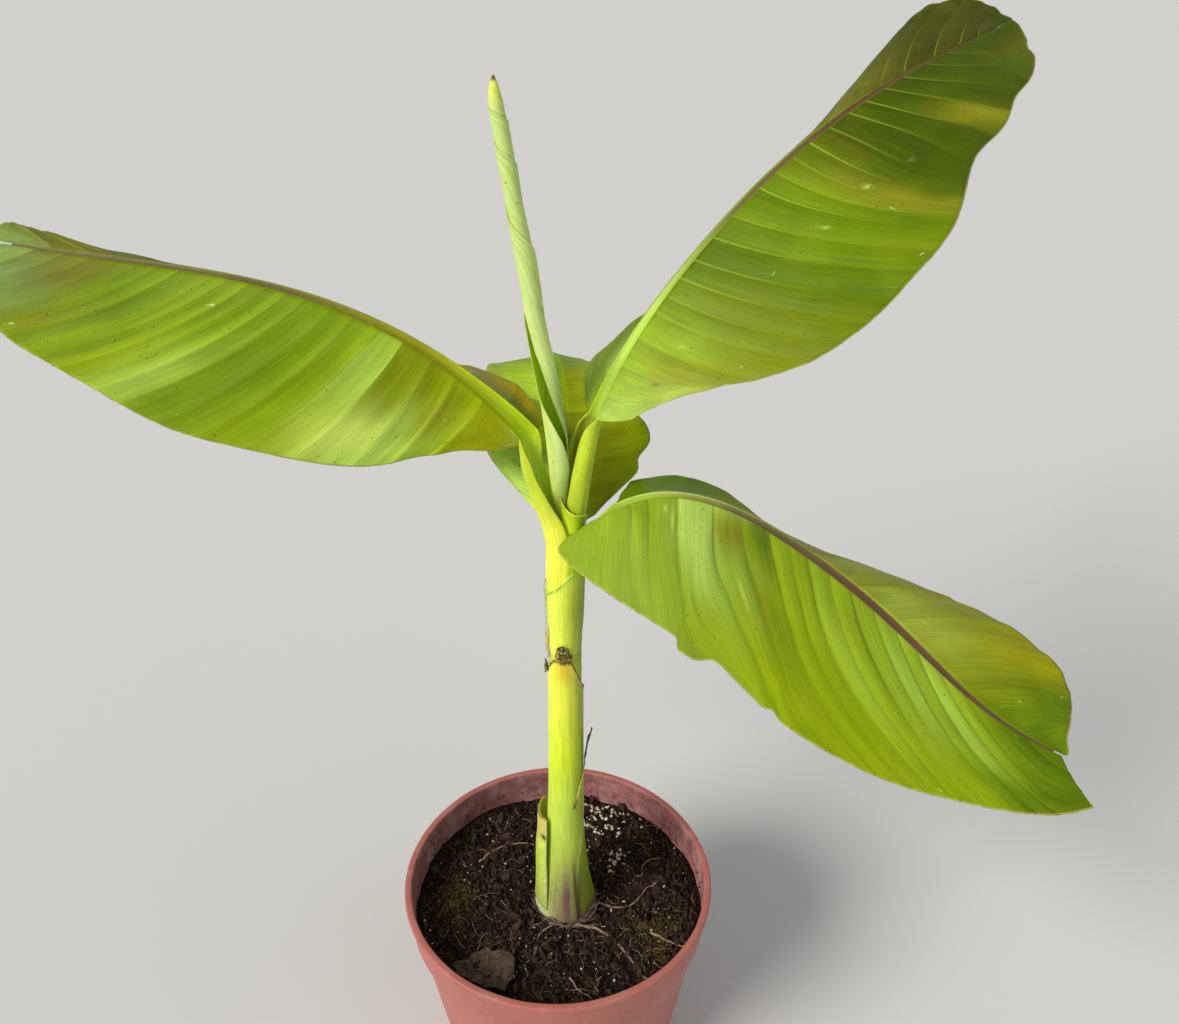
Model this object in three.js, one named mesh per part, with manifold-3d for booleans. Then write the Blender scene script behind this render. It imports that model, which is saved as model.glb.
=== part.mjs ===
// A young banana plant in a round plastic nursery pot, in millimetres, +Z up.
// The origin is the middle of the pot's flat underside. +X is to the right and +Y is away
// from the viewer, as the plant is seen from its front.

import * as THREE from 'three'
import { mergeVertices, toCreasedNormals } from 'three/addons/utils/BufferGeometryUtils.js'
import Module from 'manifold-3d'

const wasm = await Module()
wasm.setup()

const DEGREE = Math.PI / 180
const UP = new THREE.Vector3(0, 0, 1)
const CREASE = 35 * DEGREE
const WELD = 1e-4

// Space left between pieces that touch in the real plant
const CLEARANCE = 0.3

// The pot: a 200 mm nursery pot with a collar below its rolled rim.
// The rim's section is given as inset from its radius and drop from its height.
const POT = {
  height: 155,
  rimRadius: 100,
  rimDepth: 4,
  rimUndercut: 0.6,
  rimSection: [[0, 1], [1.2, 0], [3.6, 0], [4.7, 1.5]],
  collarTopRadius: 98.2,
  collarFootRadius: 96.5,
  collarInnerRadius: 94.8,
  collarFoot: 128,
  collarStep: 0.5,
  ledge: 3,
  bodyTopRadius: 93.5,
  baseRadius: 76,
  baseRound: 2,
  wall: 2,
  floor: 2.5,
  segments: 48,
  holes: 6,
  holeRadius: 6,
  holeCircle: 52,
  holeSides: 16
}

// The soil: level round the stem and lumpy further out, with waves of these lengths
const SOIL = {
  level: 132,
  edgeDrop: 0.4,
  wallGap: 0.35,
  brimGap: 0.4,
  rings: [84, 70, 56, 42, 31],
  levelRadius: 32,
  lumpRadius: 44,
  lump: 1.26,
  waveX: { length: 11, phase: 1 },
  waveY: { length: 13, phase: -0.6 },
  diagonal: { length: 7.5, share: 0.6 }
}

// The stem: leaf sheaths rolled in each other, with a swollen foot, as outer radius by height
const STEM = {
  foot: SOIL.level + CLEARANCE,
  fork: 400,
  lean: 2.2,
  centre: [5, 0],
  heights: [0, 5, 14, 27, 40, 54, 68, 82, 108, 160, 200, 210, 220, 235, 260, 267.7],
  radii: [21, 20, 18.1, 16, 14.6, 13.3, 12.4, 11.6, 10.8, 10.4, 10.3, 9.9, 9.5, 10, 10.5, 10.4],
  sides: 24
}

// The outermost sheath wraps the front of the stem and ends in an arch below the fork.
// The stem is thinner under it, and thickens again over a short span above the arch.
const SHEATH = {
  wall: 1.1,
  clearance: 0.5,
  arch: 339,
  archPeak: 345,
  archLeft: 331,
  archRight: 318,
  leftEdge: -190,
  rightEdge: [-70, -48, -10, -10, -12],
  coverFrom: 340,
  coverTo: 352,
  columns: 12,
  rows: 11,
  rowSpacing: 1.5
}

// Two remnants of older sheaths outside it: a stub that stands off the stem behind its left
// side, and a narrow ribbon on the right. Azimuth of the middle, half width in degrees and
// distance from the stem run from foot to tip.
const DRY_LEFT = {
  from: 140,
  to: 214,
  azimuth: [176, 168, 160, 156],
  half: [54, 46, 38, 33],
  flare: [0, 3.4, 5.8, 7],
  columns: 8,
  rows: 8
}
const DRY_RIGHT = {
  from: 226,
  to: 283,
  azimuth: [-64, -44, -18, -6, -4],
  half: [6, 8, 9, 9, 6],
  flare: [0, 0, 0.3, 1.2, 4],
  columns: 3,
  rows: 8
}
const DRY_WALL = 1.1

// The stalks: channelled limbs that open upwards, each from the fork to its blade.
// Bend points lie between the stem and the blade. Radius, wall and half opening angle
// run from the stem to the blade, and facing is the side that the keel looks to.
const STALKS = {
  left: {
    start: [7, 0, STEM.fork + CLEARANCE],
    bends: [[8, -1, 419], [-6, 0, 447]],
    radius: [10.3, 8.6, 6.8, 6],
    wall: [2, 2.2, 2.4, 2.6],
    wrap: [76, 92, 108, 112],
    facing: [-172, -164, -200, -208]
  },
  upper: {
    start: [7, 0, STEM.fork + CLEARANCE],
    bends: [[9, 2, 430], [17, 2, 460]],
    radius: [7.9, 6.4, 5.4, 5],
    wall: [2.4, 2.4, 2.4, 2.6],
    wrap: [120, 112, 108, 108],
    facing: [20, 15, 20, 24]
  },
  lower: {
    start: [7, 0, STEM.fork + CLEARANCE],
    bends: [[12, -3, 418], [25, -7, 432]],
    radius: [10.3, 7.4, 5.4, 4.6],
    wall: [2, 2.4, 2.6, 2.6],
    wrap: [70, 88, 104, 108],
    facing: [-20, -20, -18, -17]
  },
  back: {
    start: [6.4, 0, 352],
    bends: [[6.6, 2, 380], [6.8, 18, 388]],
    radius: [12, 10.6, 6.2, 4.4],
    wall: [1.5, 1.9, 2.4, 2.6],
    wrap: [60, 62, 86, 104],
    facing: [92, 92, 92, 92]
  }
}
const STALK = { rows: 11, columns: 10, endGap: 0.35 }

// The blades. The midrib leaves its base with a compass heading and a rise that change along it.
// Each half blade, as seen from base to tip, has these values from base to tip:
// reach along a side vein, lift and curl of the blade across, and how far the veins sweep forward.
const LEAVES = {
  left: {
    base: [-10, 5, 476],
    length: 299,
    heading: [169, 170, 171, 162],
    rise: [48, 29, 12, 4, 2],
    thickness: 3.4,
    leftHalf: {
      reach: [14, 50, 80, 103, 106, 98, 80, 56, 20],
      lift: [-76, -62, -55, -48, -40],
      curl: [0, 10, 10, 8, 0],
      vein: [0, -8, 16, 38, 48, 52, 52]
    },
    rightHalf: {
      reach: [16, 48, 65, 74, 78, 77, 72, 54, 16],
      lift: [8, -30, -30, -10, 18],
      curl: [5, -20, -5, 0, 10],
      vein: [-14, -4, 20, 34, 48, 52, 50]
    }
  },
  upper: {
    base: [22, 3, 488],
    length: 308,
    heading: [24, 23, 27, 42],
    rise: [66, 53, 45, 36, 25, 14, 10],
    thickness: 3.4,
    leftHalf: {
      reach: [28, 32, 42, 62, 76, 79, 77, 56, 14],
      lift: [0, -45, -34, 6, 15],
      curl: [0, 0, 0, 0, 0],
      vein: [25, 14, 20, 36, 44, 48, 40]
    },
    rightHalf: {
      reach: [27, 61, 96, 104, 90, 81, 67, 42, 4],
      lift: [-18, -28, -34, -30, -26],
      curl: [0, -5, -10, -8, 0],
      vein: [12, 2, 20, 30, 42, 54, 50]
    }
  },
  lower: {
    base: [34, -9, 442],
    length: 262,
    heading: [-17, -28, -29, -16],
    rise: [36, -12, -28, -36, -18],
    thickness: 3.2,
    leftHalf: {
      reach: [30, 52, 60, 67, 75, 84, 72, 42, 4],
      lift: [-3, -36, -10, 20, 12],
      curl: [0, 0, 0, 0, 0],
      vein: [-12, 3, 12, 26, 34, 42, 38]
    },
    rightHalf: {
      reach: [38, 60, 71, 79, 78, 74, 60, 44, 28],
      lift: [-20, -51, -58, -54, -45],
      curl: [0, 0, 0, 0, 0],
      vein: [-88, -22, 8, 10, 32, 36, 24]
    }
  },
  back: {
    base: [7, 20, 412],
    length: 195,
    heading: [92, 96, 100],
    rise: [81, 54, 5, -22, -45],
    thickness: 2.6,
    leftHalf: {
      reach: [18, 44, 50, 47, 48, 51, 52, 40, 18],
      lift: [-10, -12, -16, -14],
      curl: [0, 0, 0, 0],
      vein: [15, 10, 12, 15, 20, 30, 40, 50, 55]
    },
    rightHalf: {
      reach: [18, 43, 49, 31, 28, 30, 30, 26, 14],
      lift: [-10, -8, -20, -25],
      curl: [0, 0, 0, 0],
      vein: [8, -2, -5, 4, 20, 30, 40, 50, 55]
    }
  }
}
const BLADE = { rows: 24, columns: 4, veinHook: 20, straightCurl: 1e-6, mitreLimit: 0.6 }
const RIB = { radii: [5, 3.8, 3.1, 2.6, 2.2, 1.8], sides: 7, end: 0.97 }

// The furled leaf: a rolled blade that stands up from the fork, with a free edge that winds
// round it. The path gives points of its axis, and turns counts the windings of the free edge
// from its azimuth edgeFrom. The roll spans sweep degrees, and shrinks by overlap along them.
const FURLED = {
  path: [[7, 0.5, 400.3], [4.9, 3.2, 448], [1, 2.8, 500], [-6.2, 2, 545], [-13, 0.4, 591], [-21, 0, 651]],
  radii: [4.9, 5.2, 5.8, 6, 5.4, 4.6, 4.4, 4, 1.2],
  turns: [-1.4, -1, -0.6, -0.1, 0.5, 1.3, 2.1, 3.3],
  edgeFrom: -90,
  sweep: 345,
  overlap: 0.16,
  sides: 14,
  rows: 26
}

// Smooth value at share s, from 0 to 1, of evenly spaced station values
function blend(values, s) {
  const last = values.length - 1
  const x = Math.min(Math.max(s, 0), 1) * last
  const i = Math.min(Math.floor(x), last - 1)
  const f = x - i
  const p1 = values[i]
  const p2 = values[i + 1]
  const p0 = i > 0 ? values[i - 1] : 2 * p1 - p2
  const p3 = i + 2 <= last ? values[i + 2] : 2 * p2 - p1
  const square = (2 * p0 - 5 * p1 + 4 * p2 - p3) * f * f
  const cube = (3 * p1 - p0 - 3 * p2 + p3) * f * f * f
  return 0.5 * (2 * p1 + (p2 - p0) * f + square + cube)
}

// Straight-line value at x of paired stations and values
function between(stations, values, x) {
  const last = stations.length - 1
  let i = 0
  while (i < last - 1 && x > stations[i + 1]) i++
  const share = (x - stations[i]) / (stations[i + 1] - stations[i])
  return THREE.MathUtils.lerp(values[i], values[i + 1], THREE.MathUtils.clamp(share, 0, 1))
}

// A closed solid from shared points and triangles, turned so that its faces point out
function solidFrom(points, triangles) {
  const vertProperties = new Float32Array(points.flatMap(point => point.toArray()))
  const build = list => new wasm.Manifold(new wasm.Mesh({
    numProp: 3,
    vertProperties,
    triVerts: new Uint32Array(list.flat())
  }))
  const solid = build(triangles)
  return solid.volume() > 0 ? solid : build(triangles.map(([a, b, c]) => [a, c, b]))
}

// The same from a three.js geometry
function solidOf(geometry) {
  const bare = geometry.clone()
  bare.deleteAttribute('normal')
  bare.deleteAttribute('uv')
  const merged = mergeVertices(bare, WELD)
  const { position } = merged.attributes
  const points = Array.from({ length: position.count }, (_, i) => new THREE.Vector3().fromBufferAttribute(position, i))
  const triangles = []
  for (let i = 0; i < merged.index.count; i += 3) {
    const corners = [0, 1, 2].map(k => merged.index.getX(i + k))
    if (new Set(corners).size === 3) triangles.push(corners)
  }
  return solidFrom(points, triangles)
}

// A closed limb through rings of points, with a flat cap at each end
function limb(rings) {
  const sides = rings[0].length
  const points = rings.flat()
  const triangles = []
  for (let i = 0; i + 1 < rings.length; i++) {
    for (let k = 0; k < sides; k++) {
      const a = i * sides + k
      const b = i * sides + (k + 1) % sides
      triangles.push([a, b, b + sides], [a, b + sides, a + sides])
    }
  }
  for (const [ring, flip] of [[0, true], [rings.length - 1, false]]) {
    const centre = new THREE.Vector3()
    rings[ring].forEach(point => centre.addScaledVector(point, 1 / sides))
    const hub = points.push(centre) - 1
    for (let k = 0; k < sides; k++) {
      const a = ring * sides + k
      const b = ring * sides + (k + 1) % sides
      triangles.push(flip ? [b, a, hub] : [a, b, hub])
    }
  }
  return solidFrom(points, triangles)
}

// A closed plate between two grids of points with the same rows and columns
function plate(upper, lower) {
  const rows = upper.length
  const columns = upper[0].length
  const points = [...upper.flat(), ...lower.flat()]
  const under = rows * columns
  const at = (i, j) => i * columns + j
  const triangles = []
  for (let i = 0; i + 1 < rows; i++) {
    for (let j = 0; j + 1 < columns; j++) {
      const [a, b, c, d] = [at(i, j), at(i, j + 1), at(i + 1, j + 1), at(i + 1, j)]
      triangles.push([a, b, c], [a, c, d], [under + a, under + c, under + b], [under + a, under + d, under + c])
    }
  }
  const border = []
  for (let j = 0; j + 1 < columns; j++) border.push(at(0, j))
  for (let i = 0; i + 1 < rows; i++) border.push(at(i, columns - 1))
  for (let j = columns - 1; j > 0; j--) border.push(at(rows - 1, j))
  for (let i = rows - 1; i > 0; i--) border.push(at(i, 0))
  border.forEach((a, k) => {
    const b = border[(k + 1) % border.length]
    triangles.push([b, a, under + a], [b, under + a, under + b])
  })
  return solidFrom(points, triangles)
}

// The largest piece of a solid that a cut has divided, with loose scraps dropped
function largest(solid) {
  return solid.decompose().sort((a, b) => b.volume() - a.volume())[0]
}

// A named mesh with a finish of its own
function piece(name, solid, { color, roughness }) {
  const { vertProperties, triVerts } = solid.getMesh()
  const geometry = new THREE.BufferGeometry()
  geometry.setAttribute('position', new THREE.BufferAttribute(vertProperties, 3))
  geometry.setIndex(new THREE.BufferAttribute(triVerts, 1))
  const mesh = new THREE.Mesh(
    toCreasedNormals(geometry, CREASE),
    new THREE.MeshStandardMaterial({ color, roughness, metalness: 0 })
  )
  mesh.name = name
  return mesh
}

// A solid of revolution about the vertical axis, from a profile of [radius, height]
function turned(profile, segments) {
  const geometry = new THREE.LatheGeometry(profile.map(([r, z]) => new THREE.Vector2(r, z)), segments)
  return geometry.rotateX(Math.PI / 2)
}

function pot() {
  const { height, rimRadius, baseRadius, bodyTopRadius, collarFoot, collarStep, wall } = POT
  const rimFoot = height - POT.rimDepth
  let solid = solidOf(turned([
    [0, 0],
    [baseRadius - POT.baseRound, 0],
    [baseRadius, POT.baseRound],
    [bodyTopRadius, collarFoot - collarStep],
    [POT.collarFootRadius, collarFoot],
    [POT.collarTopRadius, rimFoot - POT.rimUndercut],
    [rimRadius, rimFoot],
    ...POT.rimSection.map(([inset, drop]) => [rimRadius - inset, height - drop]),
    [POT.collarInnerRadius, collarFoot + POT.ledge],
    [bodyTopRadius - wall, collarFoot - collarStep],
    [baseRadius - wall, POT.floor],
    [0, POT.floor]
  ], POT.segments))
  for (let i = 0; i < POT.holes; i++) {
    const angle = (i + 0.5) * 2 * Math.PI / POT.holes
    const drill = new THREE.CylinderGeometry(POT.holeRadius, POT.holeRadius, 4 * POT.floor, POT.holeSides)
    drill.rotateX(Math.PI / 2)
    drill.translate(POT.holeCircle * Math.cos(angle), POT.holeCircle * Math.sin(angle), POT.floor / 2)
    solid = solid.subtract(solidOf(drill))
  }
  return solid
}

// Height of the soil above its level: gentle lumps that fade out towards the stem
function lumps(x, y) {
  const away = Math.hypot(x - STEM.centre[0], y - STEM.centre[1])
  const share = THREE.MathUtils.smoothstep(away, SOIL.levelRadius, SOIL.lumpRadius)
  const { waveX, waveY, diagonal } = SOIL
  const crossed = Math.sin(x / waveX.length + waveX.phase) * Math.cos(y / waveY.length + waveY.phase)
  const wave = crossed + diagonal.share * Math.sin((x - y) / diagonal.length)
  return share * SOIL.lump * wave
}

function soil() {
  const inset = POT.wall + SOIL.wallGap
  const brim = POT.collarInnerRadius - SOIL.brimGap
  const geometry = turned([
    [0, POT.floor + CLEARANCE],
    [POT.baseRadius - inset, POT.floor + CLEARANCE],
    [POT.bodyTopRadius - inset, POT.collarFoot - POT.collarStep],
    [brim, POT.collarFoot + POT.ledge],
    [brim, SOIL.level - SOIL.edgeDrop],
    ...SOIL.rings.map(radius => [radius, SOIL.level]),
    [0, SOIL.level]
  ], POT.segments)
  const { position } = geometry.attributes
  for (let i = 0; i < position.count; i++) {
    const [x, y, z] = [position.getX(i), position.getY(i), position.getZ(i)]
    if (z > SOIL.level - WELD) position.setZ(i, z + lumps(x, y))
  }
  return solidOf(geometry)
}

// Axis and outer radius of the stem at a height
function stemAxis(z) {
  const share = (z - STEM.foot) / (STEM.fork - STEM.foot)
  return new THREE.Vector3(STEM.centre[0] + STEM.lean * share, STEM.centre[1], z)
}

function stemRadius(z) {
  return between(STEM.heights, STEM.radii, z - STEM.foot)
}

// Point at an azimuth in degrees on a round section of the stem
function onStem(z, radius, azimuth) {
  const turn = azimuth * DEGREE
  return stemAxis(z).add(new THREE.Vector3(radius * Math.cos(turn), radius * Math.sin(turn), 0))
}

// The stem inside the outermost sheath, up to the fork
function stem(grown = 0) {
  const covered = SHEATH.wall + SHEATH.clearance
  const rings = STEM.heights.map(height => {
    const z = STEM.foot + height
    const cover = covered * (1 - THREE.MathUtils.smoothstep(z, SHEATH.coverFrom, SHEATH.coverTo))
    const radius = stemRadius(z) - cover + grown
    const end = height === STEM.heights.at(-1) ? grown : 0
    return Array.from({ length: STEM.sides }, (_, k) => onStem(z, radius, 360 * k / STEM.sides).add({ x: 0, y: 0, z: end }))
  })
  return limb(rings)
}

// A curved shell on the stem: both faces are grids of points by row and column
function shell(rows, columns, place) {
  const outer = []
  const inner = []
  for (let i = 0; i <= rows; i++) {
    const row = Array.from({ length: columns + 1 }, (_, j) => place(i / rows, j / columns))
    outer.push(row.map(({ z, outside, azimuth }) => onStem(z, outside, azimuth)))
    inner.push(row.map(({ z, outside, azimuth, wall }) => onStem(z, outside - wall, azimuth)))
  }
  return plate(outer, inner)
}

function frontSheath(grown = 0) {
  return shell(SHEATH.rows, SHEATH.columns, (row, u) => {
    const t = row ** SHEATH.rowSpacing
    const right = blend(SHEATH.rightEdge, t)
    const azimuth = THREE.MathUtils.lerp(SHEATH.leftEdge - grown, right + grown, u)
    const side = THREE.MathUtils.lerp(SHEATH.archLeft, SHEATH.archRight, u)
    const top = side + (SHEATH.archPeak - side) * Math.sin(Math.PI * u) ** 2
    const z = THREE.MathUtils.lerp(STEM.foot, Math.min(top, SHEATH.arch) + grown, t)
    return { z, azimuth, outside: stemRadius(z) + grown, wall: SHEATH.wall + grown }
  })
}

function dryStrip({ from, to, azimuth, half, flare, columns, rows }) {
  return shell(rows, columns, (t, u) => {
    const z = THREE.MathUtils.lerp(from, to, t)
    const outside = stemRadius(z) + CLEARANCE + DRY_WALL + blend(flare, t)
    return { z, azimuth: blend(azimuth, t) + blend(half, t) * (2 * u - 1), outside, wall: DRY_WALL }
  })
}

// Direction of a midrib at share s
function ribDirection(leaf, s) {
  const heading = blend(leaf.heading, s) * DEGREE
  const rise = blend(leaf.rise, s) * DEGREE
  return new THREE.Vector3(
    Math.cos(rise) * Math.cos(heading),
    Math.cos(rise) * Math.sin(heading),
    Math.sin(rise)
  )
}

// Frames along a midrib: point, tangent, side to the right and normal of the upper face
function ribFrames(leaf, rows) {
  const point = new THREE.Vector3(...leaf.base)
  const frames = []
  for (let i = 0; i <= rows; i++) {
    const tangent = ribDirection(leaf, i / rows)
    const side = tangent.clone().cross(UP).normalize()
    const normal = side.clone().cross(tangent)
    frames.push({ s: i / rows, point: point.clone(), tangent, side, normal })
    point.addScaledVector(ribDirection(leaf, (i + 0.5) / rows), leaf.length / rows)
  }
  return frames
}

// Point of a half blade, at share u of a side vein; hand is 1 on the right and -1 on the left
function bladePoint(frame, half, hand, u) {
  const sweep = (blend(half.vein, frame.s) + BLADE.veinHook * u / 2) * DEGREE
  const reach = blend(half.reach, frame.s)
  const lift = blend(half.lift, frame.s) * DEGREE
  const curl = blend(half.curl, frame.s) * DEGREE || BLADE.straightCurl
  const across = reach * Math.cos(sweep)
  const out = (Math.sin(lift + curl * u) - Math.sin(lift)) / curl
  const rise = (Math.cos(lift) - Math.cos(lift + curl * u)) / curl
  return frame.point.clone()
    .addScaledVector(frame.side, hand * across * out)
    .addScaledVector(frame.normal, across * rise)
    .addScaledVector(frame.tangent, reach * Math.sin(sweep) * u)
}

// Unit normals of one half blade, on the side of the upper face
function halfNormals(grid, frames) {
  return grid.map((row, i) => row.map((_, j) => {
    const along = grid[Math.min(i + 1, grid.length - 1)][j].clone().sub(grid[Math.max(i - 1, 0)][j])
    const across = row[Math.min(j + 1, row.length - 1)].clone().sub(row[Math.max(j - 1, 0)])
    const normal = along.cross(across).normalize()
    return normal.dot(frames[i].normal) < 0 ? normal.negate() : normal
  }))
}

// The midrib's lower side: a tapering limb under the fold of the blade
function ribLimb(frames, folds, thickness) {
  const count = Math.round(RIB.end * (frames.length - 1))
  const rings = []
  for (let i = 0; i <= count; i++) {
    const { s, point, tangent } = frames[i]
    const radius = blend(RIB.radii, s)
    const centre = point.clone().addScaledVector(folds[i], thickness / 2 - radius)
    const side = tangent.clone().cross(folds[i]).normalize()
    rings.push(Array.from({ length: RIB.sides }, (_, k) => {
      const turn = 2 * Math.PI * k / RIB.sides
      return centre.clone()
        .addScaledVector(side, radius * Math.sin(turn))
        .addScaledVector(folds[i], radius * Math.cos(turn))
    }))
  }
  return limb(rings)
}

// A blade of even thickness, folded along its midrib
function blade(leaf) {
  const frames = ribFrames(leaf, BLADE.rows)
  const shares = Array.from({ length: BLADE.columns + 1 }, (_, j) => j / BLADE.columns)
  const grid = (half, hand) => frames.map(frame => shares.map(u => bladePoint(frame, half, hand, u)))
  const [leftGrid, rightGrid] = [grid(leaf.leftHalf, -1), grid(leaf.rightHalf, 1)]
  const [leftNormals, rightNormals] = [halfNormals(leftGrid, frames), halfNormals(rightGrid, frames)]
  const folds = frames.map((_, i) => leftNormals[i][0].clone().add(rightNormals[i][0]).normalize())
  const mitres = frames.map((_, i) => 1 / Math.max(BLADE.mitreLimit, folds[i].dot(rightNormals[i][0])))
  const face = sign => frames.map((_, i) => {
    const offset = (point, normal, scale) => point.clone().addScaledVector(normal, sign * scale * leaf.thickness / 2)
    const left = leftGrid[i].slice(1).map((point, j) => offset(point, leftNormals[i][j + 1], 1)).reverse()
    const right = rightGrid[i].slice(1).map((point, j) => offset(point, rightNormals[i][j + 1], 1))
    return [...left, offset(frames[i].point, folds[i], mitres[i]), ...right]
  })
  return plate(face(1), face(-1)).add(ribLimb(frames, folds, leaf.thickness))
}

// Where a stalk ends: the middle of the midrib's foot, a small gap short of it
function stalkEnd(leaf) {
  const [frame] = ribFrames(leaf, 1)
  return frame.point.clone()
    .addScaledVector(frame.normal, leaf.thickness / 2 - RIB.radii[0])
    .addScaledVector(frame.tangent, -STALK.endGap)
}

// A channelled stalk: an open round section that sweeps from the stem to the blade
function stalk(spec, leaf, grown = 0) {
  const curve = new THREE.CubicBezierCurve3(
    new THREE.Vector3(...spec.start),
    new THREE.Vector3(...spec.bends[0]),
    new THREE.Vector3(...spec.bends[1]),
    stalkEnd(leaf)
  )
  const outer = []
  const inner = []
  for (let i = 0; i <= STALK.rows; i++) {
    const t = i / STALK.rows
    const tangent = curve.getTangent(t)
    const end = i === 0 ? -grown : i === STALK.rows ? grown : 0
    const centre = curve.getPoint(t).addScaledVector(tangent, end)
    const facing = blend(spec.facing, t) * DEGREE
    const side = new THREE.Vector3(Math.sin(facing), -Math.cos(facing), 0)
    const keel = tangent.clone().cross(side).normalize()
    side.crossVectors(keel, tangent).normalize()
    const radius = blend(spec.radius, t)
    const wrap = (blend(spec.wrap, t) + grown / radius / DEGREE) * DEGREE
    const arc = size => Array.from({ length: STALK.columns + 1 }, (_, j) => {
      const turn = wrap * (2 * j / STALK.columns - 1)
      return centre.clone()
        .addScaledVector(keel, size * Math.cos(turn))
        .addScaledVector(side, size * Math.sin(turn))
    })
    outer.push(arc(radius + grown))
    inner.push(arc(radius - blend(spec.wall, t) - grown))
  }
  return plate(outer, inner)
}

function furledLeaf(grown = 0) {
  const curve = new THREE.CatmullRomCurve3(FURLED.path.map(point => new THREE.Vector3(...point)))
  const rings = []
  for (let i = 0; i <= FURLED.rows; i++) {
    const t = i / FURLED.rows
    const centre = curve.getPoint(t)
    const edge = FURLED.edgeFrom - 360 * blend(FURLED.turns, t)
    const radius = blend(FURLED.radii, t)
    rings.push(Array.from({ length: FURLED.sides }, (_, k) => {
      const share = k / (FURLED.sides - 1)
      const turn = (edge + FURLED.sweep * share) * DEGREE
      const reach = radius * (1 - FURLED.overlap * share) + grown
      return centre.clone().add({ x: reach * Math.cos(turn), y: reach * Math.sin(turn), z: 0 })
    }))
  }
  return limb(rings)
}

// Cuts a solid clear of others
function clearOf(solid, others) {
  return largest(others.reduce((rest, other) => rest.subtract(other), solid))
}

const grownStem = stem(CLEARANCE)
const grownSheath = frontSheath(CLEARANCE)
const grownFurled = furledLeaf(CLEARANCE)

const FINISHES = {
  pot: { color: 0x9c4a35, roughness: 0.55 },
  soil: { color: 0x33261d, roughness: 0.95 },
  stem: { color: 0x8aa52e, roughness: 0.5 },
  sheath: { color: 0x93a838, roughness: 0.5 },
  drySheath: { color: 0x9a8650, roughness: 0.8 },
  petiole: { color: 0x86a032, roughness: 0.5 },
  leaf: { color: 0x678820, roughness: 0.45 },
  furled: { color: 0x9cae62, roughness: 0.5 }
}

const sides = ['left', 'upper', 'lower', 'back']
const stalks = {}
const grownStalks = []
for (const side of sides) {
  stalks[side] = clearOf(stalk(STALKS[side], LEAVES[side]), [grownStem, grownFurled, ...grownStalks])
  grownStalks.push(stalk(STALKS[side], LEAVES[side], CLEARANCE))
}

const group = new THREE.Group()
group.add(
  piece('pot', pot(), FINISHES.pot),
  piece('soil', soil(), FINISHES.soil),
  piece('stem', stem(), FINISHES.stem),
  piece('sheath_front', frontSheath(), FINISHES.sheath),
  piece('sheath_dry_left', dryStrip(DRY_LEFT), FINISHES.drySheath),
  piece('sheath_dry_right', dryStrip(DRY_RIGHT), FINISHES.drySheath)
)
for (const side of sides) {
  const leaf = clearOf(blade(LEAVES[side]), [grownStem, grownSheath, grownFurled, ...grownStalks])
  group.add(
    piece(`petiole_${side}`, stalks[side], FINISHES.petiole),
    piece(`leaf_${side}`, leaf, FINISHES.leaf)
  )
}
group.add(piece('leaf_furled', furledLeaf(), FINISHES.furled))

export default group
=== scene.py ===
# A young banana plant in a round plastic nursery pot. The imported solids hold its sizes,
# and this script builds the surfaces that show. Lengths are in millimetres until a mesh is made.

import math

import bpy
import numpy as np
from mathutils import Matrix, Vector


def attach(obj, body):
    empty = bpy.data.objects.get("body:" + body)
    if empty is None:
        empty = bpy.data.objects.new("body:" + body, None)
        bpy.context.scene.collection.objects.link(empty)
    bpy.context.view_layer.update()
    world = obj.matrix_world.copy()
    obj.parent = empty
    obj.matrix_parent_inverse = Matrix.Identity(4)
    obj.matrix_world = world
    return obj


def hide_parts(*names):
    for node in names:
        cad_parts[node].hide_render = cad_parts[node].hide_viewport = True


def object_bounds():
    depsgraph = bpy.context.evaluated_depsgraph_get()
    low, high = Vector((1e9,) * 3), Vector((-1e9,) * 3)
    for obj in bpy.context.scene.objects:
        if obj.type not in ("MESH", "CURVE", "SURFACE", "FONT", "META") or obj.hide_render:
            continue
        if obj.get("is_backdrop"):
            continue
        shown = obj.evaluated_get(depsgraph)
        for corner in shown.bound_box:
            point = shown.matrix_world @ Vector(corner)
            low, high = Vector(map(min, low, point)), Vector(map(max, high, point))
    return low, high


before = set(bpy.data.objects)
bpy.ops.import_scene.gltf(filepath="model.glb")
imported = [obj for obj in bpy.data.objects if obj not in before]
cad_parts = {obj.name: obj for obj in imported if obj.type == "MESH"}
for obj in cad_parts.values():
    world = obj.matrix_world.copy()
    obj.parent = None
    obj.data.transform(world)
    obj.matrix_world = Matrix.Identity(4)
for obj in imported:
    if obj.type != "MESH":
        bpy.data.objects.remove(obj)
cad_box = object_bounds()

METRE = 1000.0
UP = np.array([0.0, 0.0, 1.0])
SEED = 41

# The pot and its soil
POT_HEIGHT = 155.0
RIM_RADIUS = 100.0
COLLAR_FOOT = 128.0
COLLAR_RADIUS = 96.5
BODY_TOP_RADIUS = 93.5
BASE_RADIUS = 76.0
POT_WALL = 2.0
FLOOR_LEVEL = 2.6
FOOT_RING = 64
UNDERSIDE = 0.6
WALL_INSIDE = 94.9
DRAIN_HOLES = 6
DRAIN_RADIUS = 6
DRAIN_CIRCLE = 52
DRILL_DEPTH = 12
SOIL_LEVEL = 132.0
SOIL_FOOT = 2.9
SOIL_RADIUS = 94.3

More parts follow.
